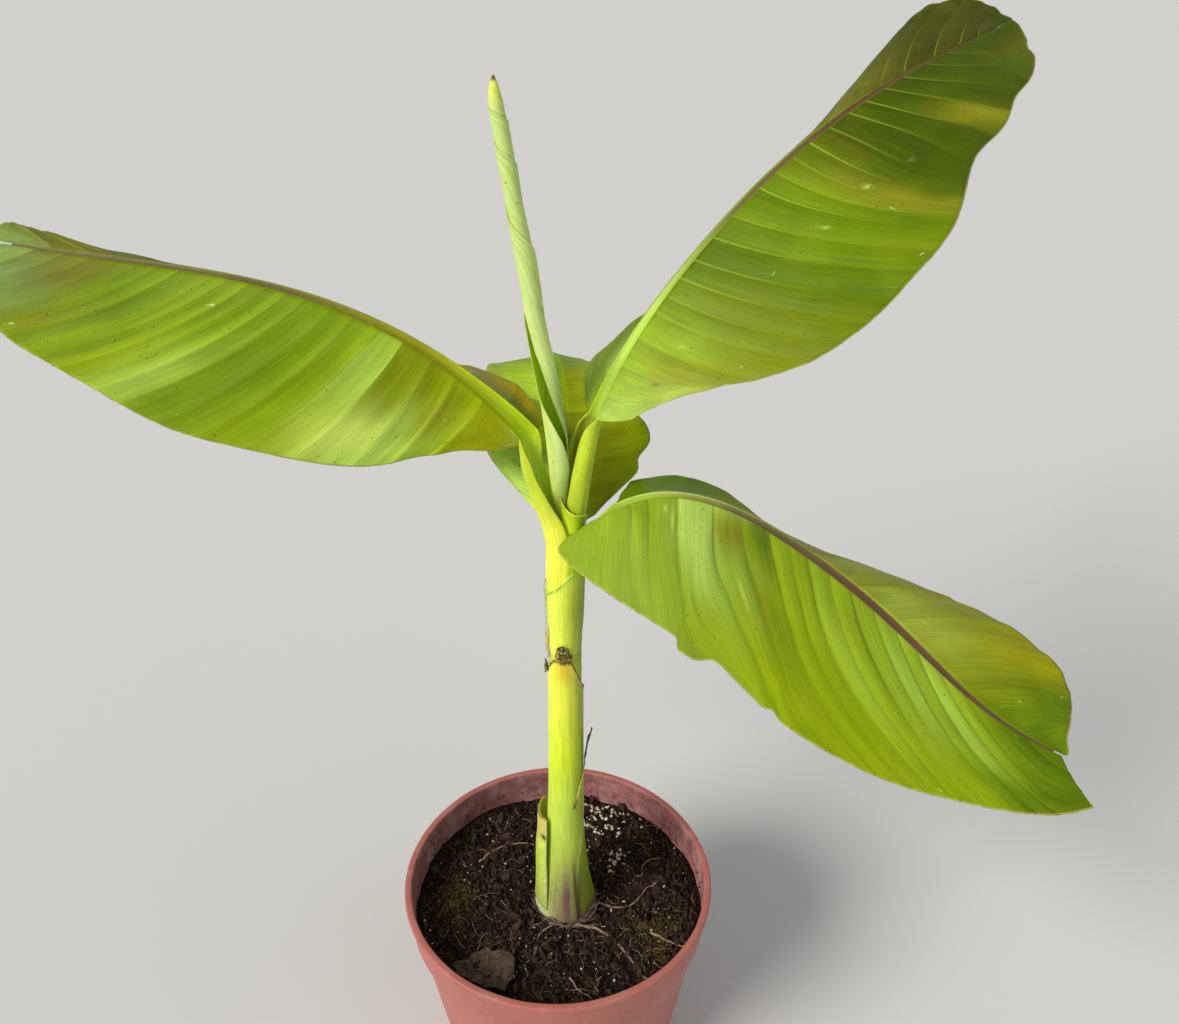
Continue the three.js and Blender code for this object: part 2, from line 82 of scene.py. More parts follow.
# The stem: outer radius by height above the soil, round an axis that leans a little
STEM_FOOT = 132.3
STEM_FORK = 400.0
STEM_CENTRE = (5.0, 0.0)
STEM_LEAN = 2.2
STEM_HEIGHTS = [0, 5, 14, 27, 40, 54, 68, 82, 108, 160, 200, 210, 220, 235, 260, 267.7]
STEM_RADII = [21, 20, 18.1, 16, 14.6, 13.3, 12.4, 11.6, 10.8, 10.4, 10.3, 9.9, 9.5, 10, 10.5, 10.4]

# The camera of the photo and the floor: sensor in millimetres, photo in pixels, places in metres
SENSOR_WIDTH = 36.0
PHOTO_WIDTH = 1179
FOCAL_PIXELS = 1100
EYE = (0.0205, -0.501, 0.732)
EYE_TILT = 59.2
FLOOR_HALF = 14.0

# Tones of the living and dry tissue, as display colours. Several are also used, in places noted below, for
# painted light and shade: shade and dusk for painted shade, haze for a painted sheen, and the tone of the
# cup's inner face is lightened as painted light.
SHADES = dict(
    deep=(96, 124, 0), green=(118, 148, 0), mid=(142, 168, 16), fresh=(160, 188, 50),
    pale=(182, 216, 90), cream=(208, 230, 104), lime=(150, 172, 0), olive=(128, 142, 0),
    amber=(156, 152, 0), rust=(166, 146, 10), tan=(142, 142, 28), drab=(118, 120, 16),
    dusk=(76, 94, 0), dim=(94, 98, 6), haze=(124, 151, 78), sage=(147, 158, 36),
    lemon=(240, 242, 78), chartreuse=(218, 242, 48), apple=(178, 206, 16), shade=(110, 130, 0),
    umber=(116, 104, 60), sap=(172, 184, 96), cane=(186, 208, 84), reed=(198, 222, 86),
    flax=(234, 252, 84), ochre=(236, 194, 44), spear=(210, 228, 138), lit_hollow=(196, 228, 40),
    chalk=(196, 204, 160), plum=(124, 82, 88), wine=(72, 44, 46), straw=(206, 184, 104),
    bark=(96, 68, 46), char=(44, 34, 28), petiole=(190, 210, 50))

# Shifts in the noise, so that the halves of a leaf and the sides of a stalk differ
HALF_SHIFT = 400
INSIDE_SHIFT = 50

# The blades, as in the solids: a midrib whose heading and rise change along it, and for each half
# the reach of its side veins, their lift and curl across, and how far they sweep forward.
# Each half also has: skew, how its pleats lean against its rows; bites of the margin (place, half length,
# depth); tabs (start, end, size); creases (place, strength); dents (place along, place across, their
# spreads, height); tones near the rib and near the margin; zones of a tone (place along, place across, their
# spreads, tone, weight); a factor that lightens or darkens the whole half, as painted light and shade; and
# the strength of the painted light and shade across each pleat. The tones and zones hold painted light and
# shade as well as the blade's own colours: darker tones where a half lies in shade, bands that follow the
# tilt of the pleats, painted shadows and a painted sheen.
VEIN_HOOK = 20.0
TIP_SWEEP = 18.0
BLADE_THICKNESS = 0.5
UNDER_PALENESS = 0.35
HALVES = (("left", -1), ("right", 1))
PLAIN_HALF = dict(curl=[0, 0], skew=[0, 0], pleat_painted_light=0.3, bites=(), tabs=(), dents=(), zones=())
LEAVES = {
    "left": dict(
        rows=480, columns=(36, 36), base=(-10, 5, 476), length=299,
        heading=[169, 170, 171, 162], rise=[48, 29, 12, 4, 2], rib=[6.0, 4.0, 3.4, 2.9, 2.4, 1.7, 0.8],
        rib_edge="chartreuse sage tan umber umber", rib_floor="apple amber umber umber umber",
        step=1.5, sag=0.7, ridge=0.0, line=-0.4,
        left=dict(
            reach=[14, 50, 80, 103, 106, 98, 80, 56, 20], lift=[-76, -62, -55, -48, -40],
            curl=[0, 10, 10, 8, 0], painted_light_gain=0.9, pleat_painted_light=0.5, vein=[0, -8, 16, 38, 48, 52, 52],
            bites=[(0.02, 0.03, -3), (0.13, 0.03, 2)],
            creases=[(0.10, 0.3), (0.16, 0.5), (0.21, 0.4), (0.265, 0.9), (0.31, 0.4), (0.355, 0.7),
                     (0.395, 0.4), (0.44, 1.0), (0.475, 0.3), (0.51, 0.6), (0.54, 0.4), (0.575, 0.8),
                     (0.605, 0.3), (0.66, 1.0), (0.70, 0.6), (0.735, 0.3), (0.77, 0.7), (0.82, 0.5),
                     (0.87, 0.4), (0.93, 0.4)],
            near="amber lime olive mid green green mid green drab drab haze",
            far="amber lime pale lime green mid mid olive haze haze mid",
            # These zones are partly the blade's own colours and partly painted light and shade: the pale at
            # 0.29 and the olive at 0.235 are painted light and a painted shadow on either side of the strong
            # crease at 0.265, the green, deep and pale bands follow the tilt of the pleats as painted light
            # and shade, and the haze near the tip is a painted sheen.
            zones=[(0.40, 0.6, 0.035, 0.6, "green", 0.9), (0.47, 0.8, 0.028, 0.35, "pale", 0.6),
                   (0.245, 0.72, 0.04, 0.26, "cream", 0.95), (0.32, 0.6, 0.018, 0.35, "green", 0.8),
                   (0.29, 0.3, 0.02, 0.3, "pale", 0.6), (0.235, 0.3, 0.02, 0.25, "olive", 0.7),
                   (0.64, 0.45, 0.025, 0.5, "deep", 0.7), (0.575, 0.75, 0.02, 0.3, "deep", 0.6),
                   (0.14, 0.45, 0.04, 0.2, "tan", 0.5), (0.53, 0.85, 0.03, 0.2, "lime", 0.6),
                   (0.90, 0.5, 0.05, 0.4, "haze", 0.7)]),
        right=dict(
            reach=[16, 48, 65, 74, 78, 77, 72, 54, 16], lift=[8, -30, -30, -10, 18],
            curl=[5, -20, -5, 0, 10], painted_light_gain=1.1, vein=[-14, -4, 20, 34, 48, 52, 50],
            near="olive olive amber olive green green green dim drab drab haze",
            far="amber rust amber olive green green green dim drab drab haze",
            zones=[(0.07, 0.75, 0.09, 0.3, "rust", 0.8), (0.03, 0.25, 0.05, 0.2, "shade", 0.7)])),
    # Both halves of this leaf darken to dim and dusk tones towards the tip: painted shade, where this leaf
    # lies in shade.
    "upper": dict(
        rows=470, columns=(36, 36), base=(22, 3, 488), length=308,
        heading=[24, 23, 27, 42], rise=[66, 53, 45, 36, 25, 14, 10], rib=[4.7, 4.4, 3.6, 3.1, 2.4, 1.1, 0.3],
        rib_edge="apple fresh mid olive dim dim", rib_floor="fresh pale umber bark bark bark",
        step=0.7, sag=-0.6, ridge=0.25, line=0.5,
        left=dict(
            reach=[28, 32, 42, 62, 76, 79, 77, 54, 8], lift=[0, -45, -34, 6, 15],
            painted_light_gain=0.55, vein=[25, 14, 20, 36, 44, 50, 63],
            near="fresh pale mid green green green tan drab dim dim dim",
            far="pale fresh mid green green green drab dim dim dim dusk"),
        right=dict(
            reach=[27, 61, 96, 104, 90, 81, 67, 42, 8], lift=[-18, -28, -34, -30, -26],
            curl=[0, -5, -10, -8, 0], painted_light_gain=0.82, pleat_painted_light=0.45, vein=[12, 2, 20, 30, 42, 54, 63],
            skew=[0, 0, 0, -0.04, -0.11, -0.07, -0.03, 0, 0],
            bites=[(0.545, 0.05, 4), (0.68, 0.05, 4), (0.86, 0.03, 2)],
            creases=[(0.05, 0.2), (0.10, 0.3), (0.15, 0.3), (0.20, 0.6), (0.23, 0.4), (0.265, 0.7),
                     (0.30, 0.7), (0.345, 0.8), (0.39, 0.5), (0.45, 0.9), (0.485, 0.5), (0.52, 0.4),
                     (0.555, 1.0), (0.595, 0.6), (0.635, 0.7), (0.67, 0.8), (0.71, 0.6), (0.75, 0.5),
                     (0.80, 0.4), (0.85, 0.3), (0.90, 0.2)],
            near="pale fresh mid deep green deep dusk dusk dusk dusk dusk",
            far="pale sage olive deep green deep dusk dusk dusk dim dusk",
            zones=[(0.26, 0.45, 0.03, 0.4, "olive", 0.7), (0.52, 0.75, 0.030, 0.6, "tan", 1.0),
                   (0.585, 0.15, 0.02, 0.25, "dim", 0.9), (0.53, 0.50, 0.004, 0.024, "cream", 0.8),
                   (0.415, 0.44, 0.003, 0.02, "cream", 0.7), (0.604, 0.64, 0.003, 0.02, "haze", 0.8),
                   (0.09, 0.5, 0.004, 0.04, "bark", 0.9), (0.17, 0.33, 0.003, 0.02, "cream", 0.4),
                   (0.31, 0.15, 0.02, 0.15, "deep", 0.7), (0.485, 0.3, 0.03, 0.3, "mid", 0.6),
                   (0.695, 0.85, 0.018, 0.35, "tan", 1.0), (0.08, 0.8, 0.04, 0.3, "cream", 0.5),
                   (0.12, 0.5, 0.03, 0.3, "tan", 0.4), (0.40, 0.9, 0.03, 0.2, "olive", 0.6)])),
    "lower": dict(
        rows=330, columns=(36, 90), base=(34, -9, 442), length=262,
        heading=[-17, -28, -29, -16], rise=[36, -12, -28, -36, -18], rib=[3.9, 3.0, 2.7, 2.5, 2.1, 1.4, 0.6],
        rib_edge="pale haze umber umber drab", rib_floor="fresh umber bark bark bark",
        step=1.4, sag=0.3, ridge=0.0, line=-0.5,
        left=dict(
            reach=[30, 52, 60, 67, 75, 84, 72, 42, 4], lift=[-3, -36, -10, 20, 12],
            painted_light_gain=1.05, pleat_painted_light=0.25, vein=[-12, 3, 12, 26, 34, 42, 38],
            near="deep deep deep olive tan sage sage sage olive deep deep",
            far="deep deep olive sage sage tan sage amber deep deep deep",
            zones=[(0.62, 0.9, 0.12, 0.2, "amber", 0.6), (0.60, 0.2, 0.08, 0.25, "cream", 0.25)]),
        right=dict(
            reach=[41, 60, 71, 79, 78, 74, 60, 44, 28], lift=[-20, -51, -58, -54, -45],
            painted_light_gain=0.72, pleat_painted_light=0.6, vein=[-88, -22, 8, 10, 32, 36, 24],
            skew=[0.32, 0.12, 0.22, 0.30, 0.28, 0.20],
            bites=[(0, 0.018, 6), (0.30, 0.03, 2), (0.44, 0.02, 2.5)], tabs=[(0.232, 0.275, 5)],
            creases=[(0.03, 0.6), (0.075, 0.9), (0.14, 0.6), (0.213, 1.0), (0.27, 0.5), (0.33, 0.6),
                     (0.375, 0.3), (0.415, 0.8), (0.465, 0.3), (0.515, 0.9), (0.57, 0.5), (0.625, 1.0),
                     (0.68, 0.6), (0.74, 0.5), (0.80, 0.4), (0.87, 0.3), (0.93, 0.3)],
            dents=[(0.265, 0.2, 0.03, 0.14, -4.0), (0.20, 0.45, 0.018, 0.3, 1.8)],
            near="fresh mid pale mid mid mid mid fresh mid deep deep",
            far="fresh fresh lime lime lime lime lime green deep deep deep",
            # The deep zone at 0.305, beside the tan fold at 0.245, is a painted shadow.
            zones=[(0.245, 0.12, 0.026, 0.14, "tan", 0.9), (0.305, 0.08, 0.012, 0.14, "deep", 1.0),
                   (0.13, 0.2, 0.003, 0.09, "cream", 0.8), (0.15, 0.3, 0.003, 0.07, "cream", 0.8),
                   (0.115, 0.12, 0.004, 0.03, "cream", 0.7), (0.245, 0.45, 0.003, 0.06, "cream", 0.8),
                   (0.18, 0.3, 0.03, 0.28, "pale", 0.9), (0.455, 0.4, 0.028, 0.35, "fresh", 0.9),
                   (0.29, 0.45, 0.04, 0.3, "olive", 0.6), (0.60, 0.25, 0.03, 0.25, "pale", 0.5),
                   (0.70, 0.3, 0.03, 0.3, "pale", 0.4), (0.68, 0.9, 0.07, 0.25, "deep", 0.9),
                   (0.54, 0.4, 0.03, 0.4, "fresh", 0.6), (0.36, 0.85, 0.06, 0.2, "lime", 0.5)])),
    # This leaf's left half is toned pale with haze, painted light where it faces the light, and its right
    # half darker olive, partly its own colour and partly painted shade.
    "back": dict(
        rows=250, columns=(26, 26), base=(7, 20, 412), length=195,
        heading=[92, 96, 100], rise=[81, 54, 5, -22, -45], rib=[4.3, 3.6, 3.0, 2.5, 2.0, 1.4, 0.7],
        rib_edge="apple olive olive drab", rib_floor="shade green green drab",
        step=0.6, sag=0.4, ridge=0.0, line=-0.3,
        left=dict(
            reach=[18, 44, 50, 47, 48, 51, 52, 40, 18], lift=[-10, -12, -16, -14],
            painted_light_gain=1.4, vein=[15, 10, 12, 15, 20, 30, 40, 50, 55],
            near="haze haze fresh fresh fresh green green deep deep",
            far="pale pale fresh fresh mid green green deep deep"),
        right=dict(
            reach=[18, 43, 49, 31, 28, 30, 30, 26, 14], lift=[-10, -8, -20, -25],
            painted_light_gain=1.3, vein=[8, -2, -5, 4, 20, 30, 40, 50, 55],
            bites=[(0.17, 0.035, 5), (0.34, 0.03, 2)],
            near="olive olive drab olive olive green green deep deep",
            far="drab olive olive olive olive olive green deep deep",
            zones=[(0.12, 0.6, 0.06, 0.3, "drab", 0.4)])),
}

# The stalks, from the stem to the blade: points of the middle, outer radius, wall at the keel, side that the
# keel faces, section's two ends as angles from the keel, flare of the first end, tones. The inside tones are
# partly painted light and shade: flax and sage inside are lightened against the shadow in the channel, and
# shade inside is painted shade.
STALK_COLUMNS = 33
RIB_END = 0.985
RIB_WRAPS = [104, 92, 84, 80, 78, 76, 74]
STALKS = {
    "left": dict(
        path=[(6.8, 0, 372), (7.1, 0, 398), (6.2, -0.4, 413), (3.6, -0.4, 426), (-2.2, 0.7, 440),
              (-8.4, 2.8, 457)],
        radius=[10.4, 10.65, 9.3, 8.3, 7.1, 6.5, 6.0], keel=[0.8, 0.9, 1.2, 1.6, 2.0, 2.4, 2.6],
        facing=[-172, -172, -176, -178, -184, -194, -204],
        first=[-104, -106, -114, -120, -112, -104, -104], last=[150, 155, 152, 148, 140, 124, 104],
        flare=[1, 1], outside="chartreuse lemon lemon petiole petiole", inside="flax flax petiole"),
    "upper": dict(
        path=[(7.6, 0.2, 392), (8.8, 1, 412), (11.6, 1.8, 428), (14.2, 2, 440), (15.9, 2, 453),
              (18.7, 2.2, 469), (20.9, 2.6, 482)],
        radius=[7.6, 6.6, 5.8, 5.55, 5.4, 5.1, 4.9, 4.7], keel=[1.6, 2, 2.1, 2.2, 2.3, 2.3, 2.3, 2.4],
        facing=[-7, -7, -7, -7, -4, 2, 12, 24],
        first=[-150, -150, -152, -155, -156, -150, -130, -106],
        last=[150, 155, 157, 158, 158, 158, 152, 118], flare=[1, 1, 1, 1.05, 1.2, 2.0, 1.5, 1.0],
        outside="apple apple petiole petiole petiole", inside="sage sage sage"),
    "lower": dict(
        path=[(7, 0, 376), (7.4, 0, 397), (12, -2.3, 411), (18.7, -4.9, 423.8), (25.8, -6.9, 432.6)],
        radius=[10.4, 10.3, 8.8, 6.5, 5.3, 4.5], keel=[0.9, 1.2, 1.8, 2.2, 2.4, 2.6],
        facing=[-20, -20, -20, -19, -18, -17], first=[-60, -70, -84, -94, -100, -104],
        last=[60, 70, 84, 94, 100, 104], flare=[1, 1],
        outside="chartreuse apple apple", inside="shade shade fresh"),
    "back": dict(
        path=[(6.4, 0, 352), (6.5, 3.7, 369.8), (6.7, 10, 383.1), (6.9, 16.3, 395.1)],
        radius=[12, 11.2, 8.4, 5.6, 4.4], keel=[0.9, 1.5, 2.0, 2.4, 2.6], facing=[92, 92, 92, 92, 92],
        first=[-60, -62, -76, -92, -104], last=[60, 62, 76, 92, 104], flare=[1, 1],
        outside="apple apple apple", inside="shade shade shade"),
}


# Numbers

def blend(values, s):
    """Smooth value at shares s of evenly spaced station values."""
    v = np.asarray(values, float)
    last = len(v) - 1
    x = np.clip(np.asarray(s, float), 0, 1) * last
    i = np.minimum(x.astype(int), last - 1)
    f = x - i
    p1, p2 = v[i], v[i + 1]
    p0 = np.where(i > 0, v[np.maximum(i - 1, 0)], 2 * p1 - p2)
    p3 = np.where(i + 2 <= last, v[np.minimum(i + 2, last)], 2 * p2 - p1)
    square = (2 * p0 - 5 * p1 + 4 * p2 - p3) * f * f
    cube = (3 * p1 - p0 - 3 * p2 + p3) * f ** 3
    return 0.5 * (2 * p1 + (p2 - p0) * f + square + cube)


def smooth(low, high, x):
    """0 below low, 1 above high, and an S curve between."""
    t = np.clip((x - low) / (high - low), 0, 1)
    return t * t * (3 - 2 * t)


def hill(x, centre, width):
    """A bell curve of height 1."""
    return np.exp(-((x - centre) / width) ** 2)


def hashed(ix, iy, seed):
    """A repeatable number from -1 to 1 for each pair of whole numbers."""
    h = (ix.astype(np.int64) * 73856093) ^ (iy.astype(np.int64) * 19349663) ^ (seed * 83492791)
    h = (h ^ (h >> 13)) * 1274126177
    h = h ^ (h >> 16)
    return (h & 0xFFFF) / 32767.5 - 1.0


def noise(x, y=0.0, seed=0):
    """Smooth noise from -1 to 1 over a plane, with features about one unit wide."""
    x, y = np.broadcast_arrays(np.asarray(x, float), np.asarray(y, float))
    ix, iy = np.floor(x), np.floor(y)
    fx, fy = smooth(0, 1, x - ix), smooth(0, 1, y - iy)
    low = hashed(ix, iy, seed) * (1 - fx) + hashed(ix + 1, iy, seed) * fx
    high = hashed(ix, iy + 1, seed) * (1 - fx) + hashed(ix + 1, iy + 1, seed) * fx
    return low * (1 - fy) + high * fy


def unit(v):
    return v / np.maximum(np.linalg.norm(v, axis=-1, keepdims=True), 1e-9)


def stack(*parts):
    """Numbers on one grid, as points or vectors."""
    return np.stack(np.broadcast_arrays(*parts), -1)


def flat(grids):
    """All the numbers of some grids, one after the other."""
    return np.concatenate([np.ravel(grid) for grid in grids])


def lattice(rows, columns, first=0):
    """Shares down the rows and across the columns of a grid."""
    return np.linspace(first, 1, rows)[:, None], np.linspace(first, 1, columns)[None, :]


def round_turns(count):
    """Angles of the points of a closed ring."""
    return np.linspace(0, math.tau, count + 1)[None, :-1]


def upright(x, y, z, radius, turn):
    """Points round an upright axis."""
    return stack(x + radius * np.cos(turn), y + radius * np.sin(turn), z)


def softened(values, passes):
    """Rows averaged with their neighbours; the first and the last row stay."""
    values = np.array(values, float)
    for _ in range(passes):
        values[1:-1] = (values[:-2] + 2 * values[1:-1] + values[2:]) / 4
    return values


def run_length(points):
    """Distance along a line of points."""
    return np.concatenate([[0], np.cumsum(np.linalg.norm(np.diff(points, axis=0), axis=1))])


def between(x, spots, table):
    """Rows of a table, interpolated at places x."""
    return stack(*[np.interp(x, spots, column) for column in np.asarray(table, float).T])


def at_heights(z, stations):
    """Columns of a table whose rows start with a height, interpolated at heights z."""
    heights, *columns = np.array(stations, float).T
    return [np.interp(z, heights, column) for column in columns]


# Tones

SHADE = {name: ((np.array(shade) / 255 + 0.055) / 1.055) ** 2.4 for name, shade in SHADES.items()}


def tones(names, q):
    """Tones at shares q of evenly spaced named stations."""
    table = [SHADE[name] for name in names.split()]
    return between(q, np.linspace(0, 1, len(table)), table)


def tint(colour, *layers):
    """A field of tones mixed with named ones, one after the other, by fields of shares."""
    for share, name in layers:
        share = np.clip(share, 0, 1)[..., None]
        colour = colour * (1 - share) + SHADE[name] * share
    return colour


# Meshes

def grid_faces(rows, columns, start=0, flip=False, closed=False):
    """Four-sided faces over a grid of points; a closed grid joins its last column to its first."""
    i, j = np.meshgrid(np.arange(rows - 1), np.arange(columns if closed else columns - 1), indexing="ij")
    k = (j + 1) % columns
    faces = stack(i * columns + j, i * columns + k, (i + 1) * columns + k, (i + 1) * columns + j)
    faces = faces.reshape(-1, 4) + start
    return faces[:, ::-1] if flip else faces


def shell_faces(rows, columns):
    """Faces of a thin closed sheet: outer grid, inner grid and the strip between their edges."""
    index = np.arange(rows * columns).reshape(rows, columns)
    edge = np.concatenate([index[0, :-1], index[:-1, -1], index[-1, :0:-1], index[:0:-1, 0]])
    after = np.roll(edge, -1)
    outer = grid_faces(rows, columns)
    inner = grid_faces(rows, columns, start=index.size, flip=True)
    rim = stack(after, edge, edge + index.size, after + index.size)
    return np.vstack([outer, inner, rim]), [0] * len(outer) + [1] * len(inner) + [0] * len(rim)


def end_caps(first, count, last):
    """Faces that close both ends of a tube whose rings have count points."""
    return [list(range(first, first + count))[::-1], list(range(last, last + count))]


def grid_normals(points):
    """Unit normals over a grid of points."""
    return unit(np.cross(np.gradient(points, axis=0), np.gradient(points, axis=1)))


def new_mesh(name, grids, quads, caps):
    """A mesh from grids of points in millimetres, four-sided faces and a few with more corners."""
    mesh = bpy.data.meshes.new(name)
    places = flat(grids) / METRE
    corners = np.concatenate([np.ravel(quads), *caps]).astype(np.int32)
    sizes = np.array([4] * len(quads) + [len(cap) for cap in caps])
    mesh.vertices.add(len(places) // 3)
    mesh.vertices.foreach_set("co", places)
    mesh.loops.add(len(corners))
    mesh.loops.foreach_set("vertex_index", corners)
    mesh.polygons.add(len(sizes))
    mesh.polygons.foreach_set("loop_start", (np.cumsum(sizes) - sizes).astype(np.int32))
    mesh.update(calc_edges=True)
    return mesh


def add_object(name, data):
    made = bpy.data.objects.new(name, data)
    bpy.context.scene.collection.objects.link(made)
    return made


def make(name, grids, quads, materials, slot, nodes, fields=None, kinds=None, caps=(), shade_smooth=True):
    """A piece of the plant or pot, with its fields of numbers or vectors."""
    mesh = new_mesh(name, grids, quads, caps)
    for key, values in (fields or {}).items():
        kind, word = ("FLOAT_VECTOR", "vector") if values[0].shape[-1] == 3 else ("FLOAT", "value")
        mesh.attributes.new(key, kind, "POINT").data.foreach_set(word, flat(values).astype(np.float32))
    for material in materials:
        mesh.materials.append(material)
    if kinds is not None:
        mesh.polygons.foreach_set("material_index", np.array(kinds, np.int32))
    mesh.polygons.foreach_set("use_smooth", np.full(len(mesh.polygons), shade_smooth))
    piece = add_object(name, mesh)
    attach(piece, "root")
    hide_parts(*nodes)
    return piece


# Materials

class Finish:
    """Builds one procedural material."""

    def __init__(self, name, roughness=0.5, specular=0.5):
        self.material = bpy.data.materials.new(name)
        self.material.use_nodes = True
        self.tree = self.material.node_tree
        self.shader = self.tree.nodes["Principled BSDF"]
        self.shader.inputs["Roughness"].default_value = roughness
        self.shader.inputs["Specular IOR Level"].default_value = specular

    def put(self, socket, value):
        if isinstance(value, bpy.types.NodeSocket):
            self.tree.links.new(value, socket)
        elif socket.type == "RGBA":
            shade = (value, value, value) if isinstance(value, float) else value
            socket.default_value = (*shade, 1)
        else:
            socket.default_value = value

    def node(self, kind, inputs=None, **settings):
        made = self.tree.nodes.new(kind)
        for key, value in settings.items():
            setattr(made, key, value)
        for key, value in (inputs or {}).items():
            self.put(made.inputs[key], value)
        return made

    def field(self, name, output="Vector"):
        return self.node("ShaderNodeAttribute", attribute_name=name).outputs[output]

    def parts(self, vector):
        split = self.node("ShaderNodeSeparateXYZ", {"Vector": vector})
        return [split.outputs[k] for k in "XYZ"]

    def place(self, scale, source=None):
        """Object coordinates in millimetres, or a stored vector, stretched by one or three scales."""
        scale = scale if isinstance(scale, tuple) else (scale, scale, scale)
        if source is None:
            source = self.node("ShaderNodeTexCoord").outputs["Object"]
            scale = tuple(METRE * v for v in scale)
        return self.node("ShaderNodeMapping", {"Vector": source, "Scale": scale}).outputs["Vector"]

    def noise(self, scale, source=None, detail=3.0, rough=0.55):
        inputs = {"Vector": self.place(scale, source), "Scale": 1.0, "Detail": detail, "Roughness": rough}
        return self.node("ShaderNodeTexNoise", inputs).outputs["Fac"]

    def span(self, value, low, high, to_low=0.0, to_high=1.0):
        """A value mapped from one span to another, held at the ends."""
        inputs = {"Value": value, "From Min": low, "From Max": high, "To Min": to_low, "To Max": to_high}
        return self.node("ShaderNodeMapRange", inputs).outputs["Result"]

    def specks(self, scale, size, low, high, weight):
        """Scattered round spots, only where a wide noise lies above a span."""
        cells = self.node("ShaderNodeTexVoronoi", {"Vector": self.place(scale), "Scale": 1.0})
        spots = self.span(cells.outputs["Distance"], size, 0.7 * size)
        return self.times(spots, self.span(self.noise(*low, detail=1.0), *high), weight)

    def math(self, kind, a, b):
        return self.node("ShaderNodeMath", {0: a, 1: b}, operation=kind).outputs[0]

    def add(self, a, b):
        return self.math("ADD", a, b)

    def times(self, first, *others):
        for other in others:
            first = self.math("MULTIPLY", first, other)
        return first

    def mix(self, share, a, b, mode="MIX"):
        inputs = {0: share, 6: a, 7: b}
        return self.node("ShaderNodeMix", inputs, data_type="RGBA", blend_type=mode).outputs[2]

    def coat(self, colour, *layers):
        """A colour with others laid over it, one after the other, by their shares."""
        for share, shade in layers:
            colour = self.mix(share, colour, shade)
        return colour

    def vary(self, colour, *layers):
        """A colour made lighter and darker by noises, each between two factors."""
        for value, low, high in layers:
            colour = self.mix(1.0, colour, self.span(value, 0.3, 0.7, low, high), "MULTIPLY")
        return colour

    def glow(self, weight, radius):
        """Light that passes through living tissue."""
        self.shader.inputs["Subsurface Weight"].default_value = weight
        self.shader.inputs["Subsurface Radius"].default_value = (0.45, 0.8, 0.08)
        self.shader.inputs["Subsurface Scale"].default_value = radius / METRE

    def done(self, colour, height=None, depth=0.2, roughness=None):
        self.put(self.shader.inputs["Base Color"], colour)
        if height is not None:
            inputs = {"Height": height, "Distance": depth / METRE, "Strength": 0.85}
            self.put(self.shader.inputs["Normal"], self.node("ShaderNodeBump", inputs).outputs["Normal"])
        if roughness is not None:
            self.put(self.shader.inputs["Roughness"], roughness)
        return self.material


def leaf_material(name, under=False):
    """A blade: its tone with streaks along the side veins, crease lines (dark ones painted shade in the
    folds, pale ones the raised veins' own colour), margin, specks and scratches.
    """
    f = Finish(name, specular=0.09)
    vein = f.field("vein")
    gap = f.parts(vein)[2]
    near, strength, _ = f.parts(f.field("crease"))
    streak = f.noise((0.45, 1.6, 0), vein, detail=4.0, rough=0.65)
    fine = f.noise((2.2, 2.4, 0), vein, detail=2.0)
    colour = f.vary(f.field("tone"), (streak, 0.85, 1.12), (fine, 0.9, 1.08))
    colour = f.coat(colour, (f.span(f.noise(0.03), 0.5, 0.75, 0, 0.15), (0.34, 0.40, 0.02)))
    line = f.span(f.math("ABSOLUTE", near, 0.0), 0.8, 0.2)
    worn = f.span(f.noise((0.18, 1, 0), vein), 0.42, 0.58)
    scratch = f.span(f.noise((0.09, 8, 0), vein, rough=0.7), 0.68, 0.72)
    patch = f.span(f.noise(0.03, detail=2.0), 0.5, 0.56)
    colour = f.coat(
        colour,
        # Dark lines at creases of negative strength are painted shade in the folds; pale lines at creases of
        # positive strength are the raised veins' own colour.
        (f.times(line, f.span(strength, 0, -1)), f.mix(1.0, colour, 0.3, "MULTIPLY")),
        (f.times(line, f.span(strength, 0, 1)), (0.40, 0.52, 0.05)),
        (f.span(gap, 1.0, 0.4, 0, 0.7), (0.50, 0.52, 0.12)),
        (f.times(f.span(gap, 0.5, 0.1), worn), (0.11, 0.055, 0.02)),
        (f.specks(0.22, 0.1, (0.03,), (0.4, 0.55), 0.9), (0.07, 0.045, 0.01)),
        (f.times(scratch, patch, 0.6), (0.62, 0.66, 0.30)))
    height = f.add(f.times(streak, 0.6), f.times(fine, 0.5))
    f.glow(0.12, 0.8)
    return f.done(colour, height, 0.34 if under else 0.26, f.span(streak, 0.3, 0.7, 0.38, 0.52))


def skin_material(name, dry=False):
    """Stem, sheath, stalk or midrib: its tone with long fibres and a few dark marks."""
    f = Finish(name, specular=0.15 if dry else 0.22)
    grain = f.field("grain")
    fibre = f.noise((1.1, 0.035, 1), grain, detail=4.0, rough=0.6)
    fine = f.noise((3.4, 0.06, 1), grain, detail=2.0)
    cloud = (f.noise(0.4), 0.5, 1.3) if dry else (f.noise((0.06, 0.06, 0.03)), 0.9, 1.08)
    colour = f.vary(f.field("tone"), (fibre, 1.12, 0.84), (fine, 0.92, 1.08), cloud)
    mark = f.specks((0.28, 0.28, 0.12), 0.085, ((0.03, 0.03, 0.02),), (0.5, 0.6), 0.6)
    colour = f.coat(colour, (mark, (0.08, 0.06, 0.02)))
    height = f.add(f.times(fibre, 0.7), f.times(fine, 0.4))
    f.glow(0.05 if dry else 0.15, 1.5)
    low = 0.6 if dry else 0.36
    return f.done(colour, height, 0.3 if dry else 0.2, f.span(fibre, 0.3, 0.7, low, low + 0.14))


